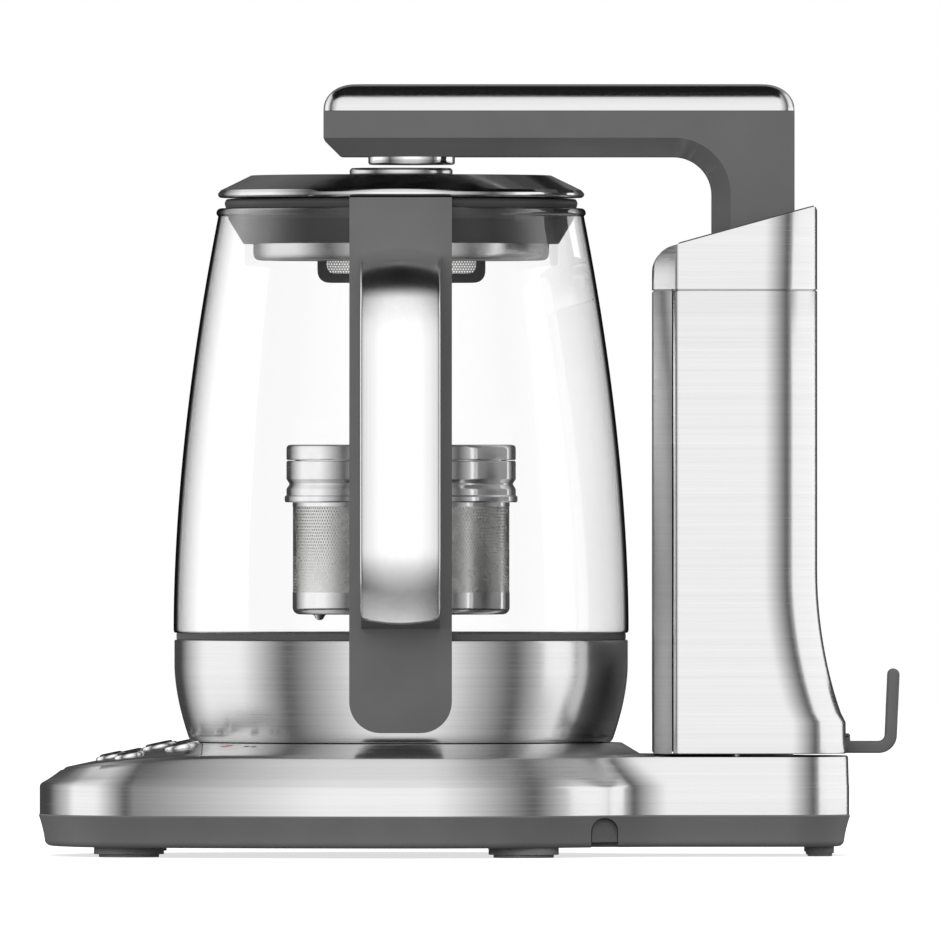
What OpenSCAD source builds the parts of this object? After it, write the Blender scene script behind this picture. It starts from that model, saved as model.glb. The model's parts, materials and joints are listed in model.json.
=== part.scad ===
// Automatic tea maker: a station with a lifting tower, a glass kettle, and an arm that raises the tea basket.
// Millimetres, +Z up, feet on Z = 0. The arm lies along X, the grip faces -Y, the pouring lip faces +Y.
// Every piece is drawn about the kettle's own axis and then shifted so the whole object stands centred.

/* [Station base] */
// Height of the rubber feet under the tray
foot_h = 3.4; // [2.5:0.1:6]
// Radius of the four large feet
foot_r = 12; // [9:0.5:15]
// Radius of the two small rear feet
rear_foot_r = 4.9; // [4:0.1:7]
// Height of the plastic bottom tray
tray_h = 11; // [10:0.5:16]
// Wall of the plastic tray
tray_wall = 2; // [1.6:0.1:3]
// Height of the upright steel band
skirt_h = 10.3; // [8:0.5:16]
// Height of the sloped steel band above it
band_h = 10.3; // [8:0.5:14]
// How far the sloped band leans in round the kettle
band_lean = 8.6; // [5:0.2:10]
// Height from the deck to the plateau under the kettle
crown_h = 3.8; // [2:0.2:6]
// Wall of the steel housing
skirt_wall = 1.6; // [1.2:0.1:2.2]
// Distance from the kettle's axis to the nose
nose_reach = 124.5; // [118:0.5:132]
// Radius of the blunt nose in plan
nose_r = 115; // [105:1:125]
// Radius of the two cheeks beside the nose
cheek_r = 48; // [40:1:54]
// Radius of the long flanks
flank_r = 212; // [200:1:240]
// Radius of the housing round the kettle
ring_r = 91.5; // [90:0.5:95]
// How far the nose of the deck drops
nose_dip = 4.8; // [2:0.2:6]
// Distance from the kettle's axis to the rear face of the tower foot
foot_reach = 154; // [152:0.5:160]
// Width of the tower foot
foot_w = 92; // [90:1:98]
// Radius of the concave waist between ring and tower foot
waist_r = 30; // [24:1:36]
// Radius of the rear corners
corner_r = 25; // [20:1:30]

/* [Control panel] */
// Thickness of the glossy panel
panel_t = 2; // [1.5:0.1:3]
// Distance from the kettle's axis to the panel's straight edge
panel_edge = 68; // [64:0.5:72]
// Distance from the kettle's axis to the outer row of buttons
outer_row = 99.5; // [98:0.5:102]
// Distance from the kettle's axis to the inner row of buttons
inner_row = 83; // [82:0.5:85]
// Angle between neighbouring outer buttons
outer_step = 20.8; // [18:0.2:25]
// Angle between neighbouring inner buttons
inner_step = 25.3; // [22:0.2:30]
// Radius of an outer button's cap
outer_cap_r = 3.9; // [3:0.1:4.4]
// Radius of an inner button's cap
inner_cap_r = 4.7; // [3.5:0.1:5.2]
// Width of the chrome ring round a button
bezel_w = 1.5; // [1:0.1:2]
// How far a button travels
button_travel = 0.8; // [0.4:0.1:1.2]

/* [Kettle] */
// Outside radius of the steel foot ring at its top
shell_r = 77.9; // [74:0.2:80]
// Outside radius of the steel foot ring at its bottom
shell_foot_r = 72.5; // [70:0.2:75]
// Height of the steel foot ring
shell_h = 35; // [30:0.5:42]
// Height of the grey gasket over it
gasket_h = 2.4; // [1.6:0.1:4]
// How far the glass stands out past the steel foot ring
glass_step = 0.3; // [0:0.1:1]
// Outside radius of the glass at its mouth
mouth_r = 62.3; // [61:0.1:64]
// Height of the glass
glass_h = 145.8; // [140:0.5:160]
// Wall of the glass
glass_wall = 1.6; // [1.3:0.1:2]
// How late the side of the glass leans in
glass_bow = 1.8; // [1.5:0.1:2.2]
// Radius of the pouring lip
lip_r = 21; // [16:0.5:23]
// Height of the dark ring that caps the mouth
rim_h = 3.2; // [2.4:0.1:5]
// Clearance between the kettle and the station
seat_gap = 0.3; // [0.2:0.05:0.6]

/* [Handle] */
// Width of the strap
strap_w = 35; // [30:0.5:40]
// Thickness of the strap
strap_t = 4.6; // [3.6:0.2:6]
// Width of the grip
grip_w = 27.2; // [22:0.2:29]
// Thickness of the grip
grip_t = 15; // [11:0.5:18]
// How far the grip stands out past the glass
grip_reach = 50; // [44:1:58]
// Depth below the mouth at which the grip leaves the strap
grip_drop = 14.4; // [10:0.2:20]
// Height of the grip's lower end above the strap's lower end
grip_rise = 34; // [30:0.5:40]
// Thickness of the brushed face
face_t = 1.2; // [0.8:0.1:2]

/* [Lid] */
// Outside radius of the lid
lid_r = 62.9; // [61:0.1:65]
// Radius of the flat top
lid_flat_r = 51.5; // [46:0.5:56]
// Height of the lid above the dark ring
lid_h = 7.7; // [6:0.1:10]
// Radius of the steel cup under the lid
cup_r = 50.8; // [48:0.1:51]
// Depth of the lid's cup below the dark ring
cup_drop = 21.1; // [18:0.1:24]
// Wall of the lid's pressed steel
lid_wall = 1; // [0.8:0.1:1.4]

/* [Tea basket] */
// Radius of the perforated basket
basket_r = 37.3; // [32:0.1:39]
// Radius of the collar and the cap
collar_r = 39.4; // [38:0.1:41]
// Height of the perforated body
basket_h = 38.5; // [30:0.5:42]
// Height of the grooved collar
collar_h = 14.3; // [12:0.1:18]
// Height of the cap
cap_h = 5.5; // [4:0.1:8]
// Height of the basket above the heater plate
basket_lift_rest = 7.8; // [5:0.2:12]
// Wall of the basket
basket_wall = 0.6; // [0.5:0.1:1]
// Radius of the lifting rod
rod_r = 3; // [2.4:0.1:3.6]
// Radius of the round head on the rod
head_r = 17.7; // [15:0.1:20]
// Height of the rod's head
head_h = 2.4; // [2:0.1:4]

/* [Tower] */
// Depth of the tower from side to side
tower_w = 88; // [86:0.5:89]
// Gap between the glass and the tower's front
tower_gap = 8.2; // [7.2:0.2:9.8]
// Distance from the kettle's axis to the tower's rear face
tower_rear = 142.7; // [142:0.2:144]
// How far the tower's foot flares to the rear
tower_flare = 9.9; // [7:0.1:10]
// Height above the deck at which the flare ends
flare_h = 63; // [50:1:75]
// Height above the deck of the seam under the cap
seam_h = 159.3; // [150:0.5:165]
// Height above the deck of the cap's rear top edge
tower_h = 188; // [182:0.5:195]
// Slope of the cap's top, in degrees
cap_slope = 15.5; // [12:0.5:18]
// Front chamfer of the tower
tower_chamfer = 8; // [6:0.2:10]
// Radius of the tower's rear corners
tower_corner_r = 21; // [18:0.5:24]
// Wall of the tower's steel
tower_wall = 1.4; // [1.2:0.1:2]

/* [Arm] */
// Distance from the kettle's axis to the arm's free end
arm_tip = 26.6; // [24:0.2:30]
// Distance from the kettle's axis to the leg's rear face
leg_rear = 135; // [134:0.2:136]
// Thickness of the leg along the arm
leg_t = 28.3; // [26:0.1:30]
// Width of the arm
arm_w = 40; // [36:0.5:42]
// Height of the plastic beam
beam_h = 15.6; // [13:0.2:20]
// Height of the steel cover on the beam
cover_h = 9.3; // [8:0.1:12]
// Chamfer along the arm's lower edges
arm_chamfer = 5; // [3:0.2:6]
// Radius of the inner corner between beam and leg
elbow_r = 13; // [8:0.5:16]
// Wall of the arm
arm_wall = 2.2; // [1.8:0.1:3]
// Radius of the magnetic coupler
coupler_r = 14.9; // [13:0.1:16]
// Height of the coupler under the arm
coupler_h = 2.7; // [2:0.1:4]
// Gap between the coupler and the rod's head
coupler_gap = 1.1; // [0.8:0.1:2]
// How far off the kettle's axis the coupler sits
coupler_shift = 3.6; // [0:0.2:5]

/* [Lift] */
// Travel of the lift
lift_travel = 60; // [40:1:60]
// How far the kettle lifts to clear its connector
lift_off = 30; // [20:1:30]
// Radius of the lead screw
screw_r = 4; // [3:0.1:5]
// Radius of the guide rods
guide_r = 3; // [2.5:0.1:4]
// Distance from each guide rod's axis to the chassis beside it
guide_room = 7; // [6.5:0.5:9]
// Radial running clearance of shafts in their holes
run_gap = 0.06; // [0.03:0.01:0.1]
// Clearance between pieces that slide past each other
slide_gap = 0.4; // [0.3:0.05:0.6]

/* [Cord hook] */
// Thickness of the hook
hook_t = 4.1; // [3.5:0.1:6]
// Width of the hook
hook_w = 16; // [10:1:24]
// How far the hook stands out from the tower
hook_reach = 18.6; // [14:0.2:24]
// Height of the hook's tip above the deck
hook_h = 29; // [22:0.5:36]

/* [Hidden] */
$fn = 96;
eps = 0.01;
fine_fn = 24;

// Heights, each standing on the one before it.
z_tray = foot_h;
z_skirt = z_tray + tray_h;
z_crease = z_skirt + skirt_h;
z_deck = z_crease + band_h;
z_plateau = z_deck + crown_h;
z_kettle = z_plateau + seat_gap;
z_shell_top = z_kettle + shell_h;
z_glass = z_shell_top + gasket_h;
z_mouth = z_glass + glass_h;
z_rim = z_mouth + rim_h;
lid_gap = 0.4;
z_lid = z_rim + lid_gap;
z_lid_top = z_lid + lid_h;
head_gap = 0.15;
z_head = z_lid_top + head_gap;
z_coupler = z_head + head_h + coupler_gap;
z_beam = z_coupler + coupler_h;
z_cover = z_beam + beam_h;
z_arm_top = z_cover + cover_h;
z_plate = z_shell_top + 0.9;
z_basket = z_plate + basket_lift_rest;
z_collar = z_basket + basket_h;
z_cap = z_collar + collar_h;
z_cap_top = z_cap + cap_h;
z_seam = z_deck + seam_h;
z_tower_top = z_deck + tower_h;
tray_floor = z_tray + tray_wall;

// Places along X, from the kettle's axis.
screw_x = leg_rear - leg_t / 2;
plateau_r = shell_foot_r + 3.3;
glass_r = shell_r + glass_step;
grip_y = glass_r + grip_reach;
tower_front = glass_r + tower_gap;
hook_x = tower_rear + tower_flare + hook_reach;

// Centre of the pouring lip's cone.
lip_y = mouth_r - 6.3;

// The object's box, which sets its origin.
box_x = [-nose_reach, hook_x];
box_y = [-grip_y, max(ring_r, lip_y + lip_r)];
module place() translate([-(box_x[0] + box_x[1]) / 2, -(box_y[0] + box_y[1]) / 2, 0]) children();

// ---------------------------------------------------------------- the station's outline

// One row per arc of the half outline on the grip's side: centre x, centre y, radius, first and last
// direction, number of steps, and 1 where it bulges out or -1 where it is hollow.
nose_c = [nose_r - nose_reach, 0];
flank_c = [0, flank_r - ring_r];
cheek_c = meet(nose_c, nose_r - cheek_r, flank_c, flank_r - cheek_r);
waist_c = [sqrt(pow(ring_r + waist_r, 2) - pow(foot_w / 2 + waist_r, 2)), -(foot_w / 2 + waist_r)];
corner_c = [foot_reach - corner_r, corner_r - foot_w / 2];
cheek_start = 360 + atan2(cheek_c[1] - nose_c[1], cheek_c[0] - nose_c[0]);
cheek_end = 360 + atan2(cheek_c[1] - flank_c[1], cheek_c[0] - flank_c[0]);
waist_dir = atan2(-waist_c[1], -waist_c[0]);
half_arcs = [
    [nose_c[0], nose_c[1], nose_r, 180, cheek_start, 4, 1],
    [cheek_c[0], cheek_c[1], cheek_r, cheek_start, cheek_end, 5, 1],
    [flank_c[0], flank_c[1], flank_r, cheek_end, 270, 3, 1],
    [0, 0, ring_r, 270, 180 + waist_dir, 7, 1],
    [waist_c[0], waist_c[1], waist_r, waist_dir, 90, 5, -1],
    [corner_c[0], corner_c[1], corner_r, 270, 360, 6, 1],
];

// The lower of the two points at distances ra and rb from the points a and b.
function meet(a, ra, b, rb) =
    let (d = norm(b - a), u = (b - a) / d, s = (ra * ra - rb * rb + d * d) / (2 * d))
    a + s * u + sqrt(ra * ra - s * s) * [-u[1], u[0]];

// Each half point as centre, direction, radius and sign. The tip and the points that two arcs share are kept once.
last_arc = len(half_arcs) - 1;
half_points = [for (n = [0 : last_arc]) let (a = half_arcs[n]) for (k = [n == 0 ? 1 : 0 : n == last_arc ? a[5] : a[5] - 1])
    [a[0], a[1], a[2], a[3] + (a[4] - a[3]) * k / a[5], a[6]]];
half_count = len(half_points);
nose_tip = [nose_c[0], nose_c[1], nose_r, 180, 1];
// Width of the flat land along the deck's edge.
deck_land = 0.8;

// A half point moved in by an inset, towards the station's inside.
function inset_point(p, inset) =
    [p[0] + (p[2] - p[4] * inset) * cos(p[3]), p[1] + (p[2] - p[4] * inset) * sin(p[3])];

// 1 round the kettle, falling smoothly to 0 along the tower foot.
foot_start = ring_r * cos(180 - waist_dir);
function ring_share(p) =
    let (x = inset_point(p, 0)[0], t = max(0, min(1, (x - foot_start) / (waist_c[0] - foot_start))))
    1 - t * t * (3 - 2 * t);

// How far the deck's edge lies below z_deck at x.
dip_start = 52;
dip_power = 2.3;
function edge_dip(x) =
    nose_dip * pow(max(0, -x - dip_start) / (nose_reach - band_lean - dip_start), dip_power);

// A closed ring of points from the half outline, mirrored about the X axis. The inset is the sum of a
// plain part and a part that only the kettle's ring takes; drop is 1 where the ring follows the deck's dip.
function flat_ring(plain, round_part, z, drop = 0) =
    let (half = [for (p = half_points) inset_point(p, plain + round_part * ring_share(p))],
         tip = inset_point(nose_tip, plain + round_part))
    concat([[tip[0], 0, z - drop * edge_dip(tip[0])]],
           [for (q = half) [q[0], q[1], z - drop * edge_dip(q[0])]],
           [for (i = [half_count - 1 : -1 : 0]) [half[i][0], -half[i][1], z - drop * edge_dip(half[i][0])]]);

// The foot of the crown: the deck's edge moved in, closed round the kettle behind the tower foot.
foot_first = search(0, [for (p = half_points) p[4] == -1 ? 0 : 1])[0];
function crown_foot_point(i, inset) =
    i < foot_first ? inset_point(half_points[i], inset)
        : let (a = (waist_dir - 180) * (1 - (i - foot_first) / (half_count - foot_first)))
          (ring_r - inset) * [cos(a), sin(a)];
function crown_foot(inset, z) =
    let (half = [for (i = [0 : half_count - 1]) crown_foot_point(i, inset)], tip = inset_point(nose_tip, inset))
    concat([[tip[0], 0, z - edge_dip(tip[0])]],
           [for (q = half) [q[0], q[1], z - edge_dip(q[0])]],
           [for (i = [half_count - 1 : -1 : 0]) [half[i][0], -half[i][1], z - edge_dip(half[i][0])]]);

// The same points drawn in to a circle about the kettle's axis.
function crown_top(r, z) = [for (p = crown_foot(0, 0)) let (q = [p[0], p[1]], u = q / norm(q)) [r * u[0], r * u[1], z]];

// A closed solid through rings of equal count, from the first ring's cap to the last ring's cap.
module loft(rings) {
    n = len(rings[0]);
    m = len(rings);
    sides = [for (k = [0 : m - 2]) for (i = [0 : n - 1]) let (j = (i + 1) % n, a = k * n, b = a + n)
        each [[a + i, b + i, b + j], [a + i, b + j, a + j]]];
    first_cap = [[for (i = [0 : n - 1]) i]];
    last_cap = [[for (i = [n - 1 : -1 : 0]) (m - 1) * n + i]];
    polyhedron(points = [for (r = rings) each r], faces = concat(sides, first_cap, last_cap), convexity = 8);
}

// A closed tube through rings of equal count: the last ring joins the first.
module loft_tube(rings) {
    n = len(rings[0]);
    m = len(rings);
    sides = [for (k = [0 : m - 1]) for (i = [0 : n - 1]) let (j = (i + 1) % n, a = k * n, b = ((k + 1) % m) * n)
        each [[a + i, b + i, b + j], [a + i, b + j, a + j]]];
    polyhedron(points = [for (r = rings) each r], faces = sides, convexity = 8);
}

// Distance from the kettle's axis to the crown's edge in the direction u.
function edge_reach(u) =
    let (ring = crown_foot(band_lean + deck_land, 0), n = len(ring))
    max([for (i = [0 : n - 1])
        let (p = ring[i], d = ring[(i + 1) % n] - p, den = u[0] * d[1] - u[1] * d[0],
             t = (p[0] * d[1] - p[1] * d[0]) / den, s = (p[0] * u[1] - p[1] * u[0]) / den)
        s >= 0 && s <= 1 ? t : 0]);
// Height of the crown's surface at a place outside the plateau.
function crown_z(x, y) =
    let (r = norm([x, y]), edge = edge_reach([x / r, y / r]))
    z_plateau - (crown_h + edge_dip(edge * x / r)) * (r - plateau_r) / (edge - plateau_r);

// A plate drawn in the XZ plane, centred on Y.
module upright(depth) translate([0, depth / 2, 0]) rotate([90, 0, 0]) linear_extrude(depth) children();
// A plate drawn in the YZ plane, centred on X.
module sideways(width) translate([-width / 2, 0, 0]) rotate([90, 0, 90]) linear_extrude(width) children();
// A rectangle with round corners, from its lower left corner.
module soft_rect(size, r) {
    translate([r, 0]) square([size[0] - 2 * r, size[1]]);
    translate([0, r]) square([size[0], size[1] - 2 * r]);
    for (x = [r, size[0] - r]) for (y = [r, size[1] - r]) translate([x, y]) circle(r, $fn = 48);
}
module tube(r_out, r_in, h) difference() {
    cylinder(r = r_out, h = h);
    translate([0, 0, -1]) cylinder(r = r_in, h = h + 2);
}

// ---------------------------------------------------------------- the station

// Screw places, from the plateau to the tower foot.
plateau_screws = [for (s = [-1, 1]) each [[-58, s * 38], [8, s * 67]]];
foot_screws = [for (s = [-1, 1]) each [[tower_front + 16, s * (foot_w / 2 - 7)], [corner_c[0] + 5, s * (foot_w / 2 - 9)]]];
screw_places = concat(plateau_screws, foot_screws);
// Two more hold the chassis from under the deck.
chassis_screws = [for (s = [-1, 1]) [screw_x - 6, s * (tower_w / 2 - 5)]];
post_r = 3.6;
pilot_r = 1.2;
shank_r = 1.5;
z_post = tray_floor + 5;

// The groove at the waist that the supply lead leaves by.
notch_x = waist_c[0] * 0.735;
notch_w = 9.2;
notch_in = -foot_w / 2 + 2;
grommet_r = 3.8;
grommet_lip = 0.7;
lead_r = 2.9;
grommet_z = tray_floor + grommet_r + grommet_lip + 0.1;
module notch(grow = 0) {
    translate([notch_x - notch_w / 2 - grow, notch_in - 40, z_tray - 1])
        cube([notch_w + 2 * grow, 40 + grow, tray_h / 2 + 1]);
    translate([notch_x, notch_in + grow, z_tray + tray_h / 2]) rotate([90, 0, 0])
        cylinder(r = notch_w / 2 + grow, h = 40 + grow);
}

foot_plug = 0.8;
// The large feet stand at the nose and beside the waist, the small ones under the tower foot's rear corners.
front_foot = [-93, 45];
mid_foot = [42, 62];
rear_foot = [143.6, 22];
big_feet = [for (s = [-1, 1]) each [[front_foot[0], s * front_foot[1]], [mid_foot[0], s * mid_foot[1]]]];
small_feet = [for (s = [-1, 1]) [rear_foot[0], s * rear_foot[1]]];

tray_rounding = 4.1;
module base_tray() color("dimgray") difference() {
    union() {
        difference() {
            loft([
                flat_ring(tray_rounding, 0, z_tray),
                flat_ring(tray_rounding * 0.66, 0, z_tray + tray_h * 0.1),
                flat_ring(tray_rounding * 0.34, 0, z_tray + tray_h * 0.34),
                flat_ring(tray_rounding * 0.12, 0, z_tray + tray_h * 0.66),
                flat_ring(0, 0, z_skirt)]);
            loft([
                flat_ring(tray_rounding + tray_wall, 0, tray_floor),
                flat_ring(tray_rounding * 0.34 + tray_wall, 0, z_tray + tray_h * 0.5),
                flat_ring(tray_wall, 0, z_skirt + 1)]);
            notch();
        }
        intersection() {
            notch(tray_wall);
            translate([notch_x - 20, -foot_w, z_tray]) cube([40, foot_w, tray_h - 0.2]);
            linear_extrude(100) polygon([for (p = flat_ring(2, 0, 0)) [p[0], p[1]]]);
        }
        for (p = screw_places) translate([p[0], p[1], z_tray + 1]) cylinder(r = post_r, h = z_post - z_tray - 1);
    }
    notch();
    translate([notch_x, 0, grommet_z]) rotate([90, 0, 0]) cylinder(r = grommet_r, h = foot_w / 2 + 1);
    for (p = screw_places) translate([p[0], p[1], 0]) {
        cylinder(r = shank_r + 0.2, h = z_skirt);
        translate([0, 0, z_tray - 1]) cylinder(r = post_r - 0.8, h = 2.6);
    }
    for (p = big_feet) translate([p[0], p[1], z_tray - 1]) cylinder(r = foot_r, h = 1 + foot_plug);
    for (p = small_feet) translate([p[0], p[1], z_tray - 1]) cylinder(r = rear_foot_r, h = 1 + foot_plug);
}

module foot(r) {
    pad_h = foot_h * 0.3;
    cylinder(r = r * 0.86, h = pad_h);
    translate([0, 0, pad_h]) cylinder(r = r, h = foot_h + foot_plug - pad_h);
}
module rubber_feet() color([0.34, 0.34, 0.34]) {
    for (p = big_feet) translate([p[0], p[1], 0]) foot(foot_r);
    for (p = small_feet) translate([p[0], p[1], 0]) foot(rear_foot_r);
}

module base_screws() color("silver") {
    for (p = screw_places) translate([p[0], p[1], 0]) tray_screw();
    for (p = chassis_screws) translate([p[0], p[1], 0]) chassis_screw();
}
module tray_screw() {
    translate([0, 0, z_tray + 0.2]) cylinder(r = post_r - 1, h = 1.4);
    translate([0, 0, z_tray + 1]) cylinder(r = pilot_r - 0.02, h = 14);
}
module chassis_screw() {
    translate([0, 0, z_deck - skirt_wall - 1.6]) cylinder(r = post_r - 1, h = 1.4);
    translate([0, 0, z_deck - skirt_wall - 1]) cylinder(r = pilot_r - 0.02, h = 9);
}

// The panel's outline in plan: the nose of the deck, cut straight across beside the kettle.
panel_margin = 0.5;
panel_gap = 0.25;
module panel_plan(grow = 0) difference() {
    intersection() {
        polygon([for (p = crown_foot(band_lean + deck_land + panel_margin - grow, 0)) [p[0], p[1]]]);
        translate([-nose_reach - 1, -ring_r]) square([nose_reach + 1 - panel_edge + grow, 2 * ring_r]);
    }
    circle(plateau_r + panel_margin - grow);
}
// The solid below the crown's surface, lowered by drop.
module crown(drop) loft([
    crown_foot(band_lean + deck_land, z_deck - drop - 6),
    crown_foot(band_lean + deck_land, z_deck - drop),
    crown_top(plateau_r, z_plateau - drop)]);

panel_tilt = atan((crown_h + nose_dip) / (nose_reach - band_lean - plateau_r));
// Stands a piece on the panel at one button's place, square to the panel.
module on_panel(b) translate([b[0], b[1], crown_z(b[0], b[1])]) rotate([0, -panel_tilt, 0]) children();
function button_place(row, step, k) = [-row * cos(step * k), -row * sin(step * k)];
function button_at(k) = k < 3 ? button_place(outer_row, outer_step, k - 1) : button_place(inner_row, inner_step, k - 4);
function cap_r_at(k) = k < 3 ? outer_cap_r : inner_cap_r;
button_side_gap = 0.35;
bezel_sink = 1;
bezel_rise = 1;
stem_r = 1.6;
stem_len = 4.2;

tower_hole = [tower_front + 6, foot_w / 2 - 12];
connector_r = 16;
connector_rise = 12;
housing_gap = 0.3;
led_r = [2.2, 1, 1];
led_turn = [222.2, 229, 231.2];
led_row = plateau_r + 4.5;
led_rise = 0.15;
// Stands a piece on the crown at one lamp's place, square to the slope.
module on_lamp(k) {
    near = led_row * [cos(led_turn[k]), sin(led_turn[k])];
    far = (1 + 1 / led_row) * near;
    translate([near[0], near[1], crown_z(near[0], near[1])]) rotate([0, 0, led_turn[k]])
        rotate([0, atan(crown_z(near[0], near[1]) - crown_z(far[0], far[1])), 0]) children();
}

module base_skirt() color("lightgray") difference() {
    union() {
        loft([
            crown_top(plateau_r - skirt_wall, z_plateau - skirt_wall),
            crown_foot(band_lean + deck_land + skirt_wall, z_deck - skirt_wall),
            flat_ring(skirt_wall + 0.7, band_lean - 0.7, z_deck - skirt_wall - 0.1, 1),
            flat_ring(skirt_wall + 0.3, 0, z_crease - skirt_wall * 0.4),
            flat_ring(skirt_wall + 0.3, 0, z_skirt),
            flat_ring(0.3, 0, z_skirt),
            flat_ring(0.3, 0, z_crease),
            flat_ring(0.5, (band_lean - 0.7) * 0.44, z_crease + band_h * 0.5, 0.5),
            flat_ring(0.7, band_lean - 0.7, z_deck, 1),
            crown_foot(band_lean + deck_land, z_deck),
            crown_top(plateau_r, z_plateau)]);
        for (p = plateau_screws) translate([p[0], p[1], z_post]) cylinder(r = post_r, h = z_plateau - 1 - z_post);
        for (p = foot_screws) translate([p[0], p[1], z_post]) cylinder(r = post_r, h = z_deck - 1 - z_post);
    }
    for (p = screw_places) translate([p[0], p[1], z_post - 1]) cylinder(r = pilot_r, h = 12);
    intersection() {
        linear_extrude(z_plateau + 1) panel_plan(panel_gap);
        translate([-nose_reach, -ring_r, z_crease]) cube([nose_reach, 2 * ring_r, 40]);
    }
    translate([0, 0, z_crease]) cylinder(r = connector_r + housing_gap, h = 40);
    translate([tower_hole[0], -tower_hole[1], z_crease]) cube([corner_c[0] + 14 - tower_hole[0], 2 * tower_hole[1], 40]);
    for (k = [0 : 2]) on_lamp(k) translate([0, 0, -7]) cylinder(r = led_r[k] + 0.1, h = 14, $fn = fine_fn);
    for (p = chassis_screws) translate([p[0], p[1], z_crease]) cylinder(r = shank_r, h = 40);
}

module control_panel() color([0.06, 0.06, 0.07]) difference() {
    intersection() {
        difference() {
            crown(0);
            crown(panel_t);
        }
        linear_extrude(z_plateau + 1) panel_plan();
    }
    for (k = [0 : 5]) on_panel(button_at(k)) {
        translate([0, 0, -8]) cylinder(r = cap_r_at(k) + button_side_gap, h = 16);
        translate([0, 0, -bezel_sink]) cylinder(r = cap_r_at(k) + bezel_w, h = 8);
    }
}

module button_bezels() color("gainsboro") for (k = [0 : 5]) on_panel(button_at(k)) {
    translate([0, 0, -bezel_sink]) rotate_extrude() polygon([
        [cap_r_at(k) + button_side_gap, 0], [cap_r_at(k) + bezel_w, 0],
        [cap_r_at(k) + bezel_w, bezel_sink + bezel_rise * 0.4], [cap_r_at(k) + bezel_w * 0.7, bezel_sink + bezel_rise],
        [cap_r_at(k) + button_side_gap, bezel_sink + bezel_rise]]);
}

// A button: domed cap, retaining flange under the panel, and the stem that meets its switch.
module button(k) color("black") on_panel(button_at(k)) {
    cap_r = cap_r_at(k);
    rise = bezel_rise + button_travel;
    translate([0, 0, -panel_t - 0.9]) cylinder(r = cap_r, h = panel_t + 0.9 + rise - 0.6);
    translate([0, 0, rise - 0.6]) cylinder(r1 = cap_r, r2 = cap_r - 0.6, h = 0.6);
    translate([0, 0, -panel_t - 1.9]) cylinder(r = cap_r + 0.9, h = 1);
    translate([0, 0, -panel_t - stem_len]) cylinder(r = stem_r, h = stem_len);
}

module indicator_lights() color("firebrick") for (k = [0 : 2]) on_lamp(k) {
    translate([0, 0, led_rise - 5]) cylinder(r = led_r[k], h = 5, $fn = fine_fn);
    translate([0, 0, led_rise - 6]) cylinder(r = led_r[k] + 0.5, h = 2.4, $fn = fine_fn);
}

// The board lies parallel to the panel, under the button stems.
board_t = 1.6;
switch_h = 2.4;
switch_gap = 0.1;
board_mid = (outer_row + inner_row) / 2;
module on_board() translate([-board_mid, 0, crown_z(-board_mid, 0)]) rotate([0, -panel_tilt, 0])
    translate([0, 0, -panel_t - stem_len - button_travel - 1 - switch_h]) children();
board_w = 76;
module control_board() color("darkgreen") on_board() {
    translate([-16, -board_w / 2, -board_t]) cube([34, board_w, board_t]);
    translate([6, -30, 0]) cube([9, 12, 2]);
}
// How far the panel's surface at a button lies above the plane through the middle of the panel.
function panel_bulge(b) =
    (crown_z(b[0], b[1]) - crown_z(-board_mid, 0) - (b[0] + board_mid) * tan(panel_tilt)) * cos(panel_tilt);
module tact_switches() color([0.15, 0.15, 0.15]) on_board() for (k = [0 : 5]) {
    b = button_at(k);
    bulge = panel_bulge(b);
    translate([(b[0] + board_mid) / cos(panel_tilt) + bulge * tan(panel_tilt), b[1], 0]) {
        translate([-3, -3, 0]) cube([6, 6, switch_h - 0.8]);
        cylinder(r = 1.4, h = switch_h + 1 + bulge - switch_gap, $fn = fine_fn);
    }
}

power_w = 60;
module power_board() color("darkgreen") {
    translate([-50, -power_w / 2, tray_floor + 3]) cube([66, power_w, board_t]);
    translate([-46, -26, tray_floor + 3 + board_t]) cube([20, 16, 12]);
    translate([-46, 6, tray_floor + 3 + board_t]) cube([18, 18, 10]);
    translate([4, -24, tray_floor + 3 + board_t]) cylinder(r = 5, h = 12, $fn = 48);
    for (x = [-46, 12]) for (y = [-1, 1]) translate([x, y * (power_w / 2 - 4), tray_floor]) cylinder(r = 2.4, h = 3.2, $fn = fine_fn);
}

// The round coupling on the plateau: its rings of contacts meet the kettle at any angle.
module base_connector() color([0.2, 0.2, 0.2]) difference() {
    union() {
        translate([0, 0, z_plateau - 10]) cylinder(r = connector_r, h = 10 + connector_rise);
        translate([0, 0, z_plateau - 10]) cylinder(r = connector_r + 4, h = 10 - skirt_wall - 0.4);
    }
    translate([0, 0, z_plateau - 6]) cylinder(r = 3.6, h = 40);
    translate([0, 0, z_plateau - 4]) tube(8.4, 6.6, 40);
    translate([0, 0, z_plateau - 4]) tube(12.6, 10.8, 40);
}
module connector_contacts() color("goldenrod") {
    translate([0, 0, z_plateau - 5.8]) tube(3.5, 2.9, 8);
    translate([0, 0, z_plateau - 3.8]) tube(8.3, 7.7, 9);
    translate([0, 0, z_plateau - 3.8]) tube(12.5, 11.9, 9);
}

// The bush that is moulded round the supply lead: it fills the groove to just under the tray's side.
bush_sink = 2.4;
bush_gap = 0.25;
module cord_grommet() color([0.2, 0.2, 0.2]) {
    translate([notch_x, notch_in + tray_wall + 0.8, grommet_z]) rotate([90, 0, 0]) {
        cylinder(r = grommet_r - 0.1, h = tray_wall + 1.2);
        cylinder(r = grommet_r + grommet_lip, h = 0.7);
    }
    intersection() {
        notch(-bush_gap);
        translate([0, 0, z_tray + 1.8]) linear_extrude(tray_h)
            polygon([for (p = flat_ring(bush_sink, 0, 0)) [p[0], p[1]]]);
    }
}

// ---------------------------------------------------------------- the tower

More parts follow.
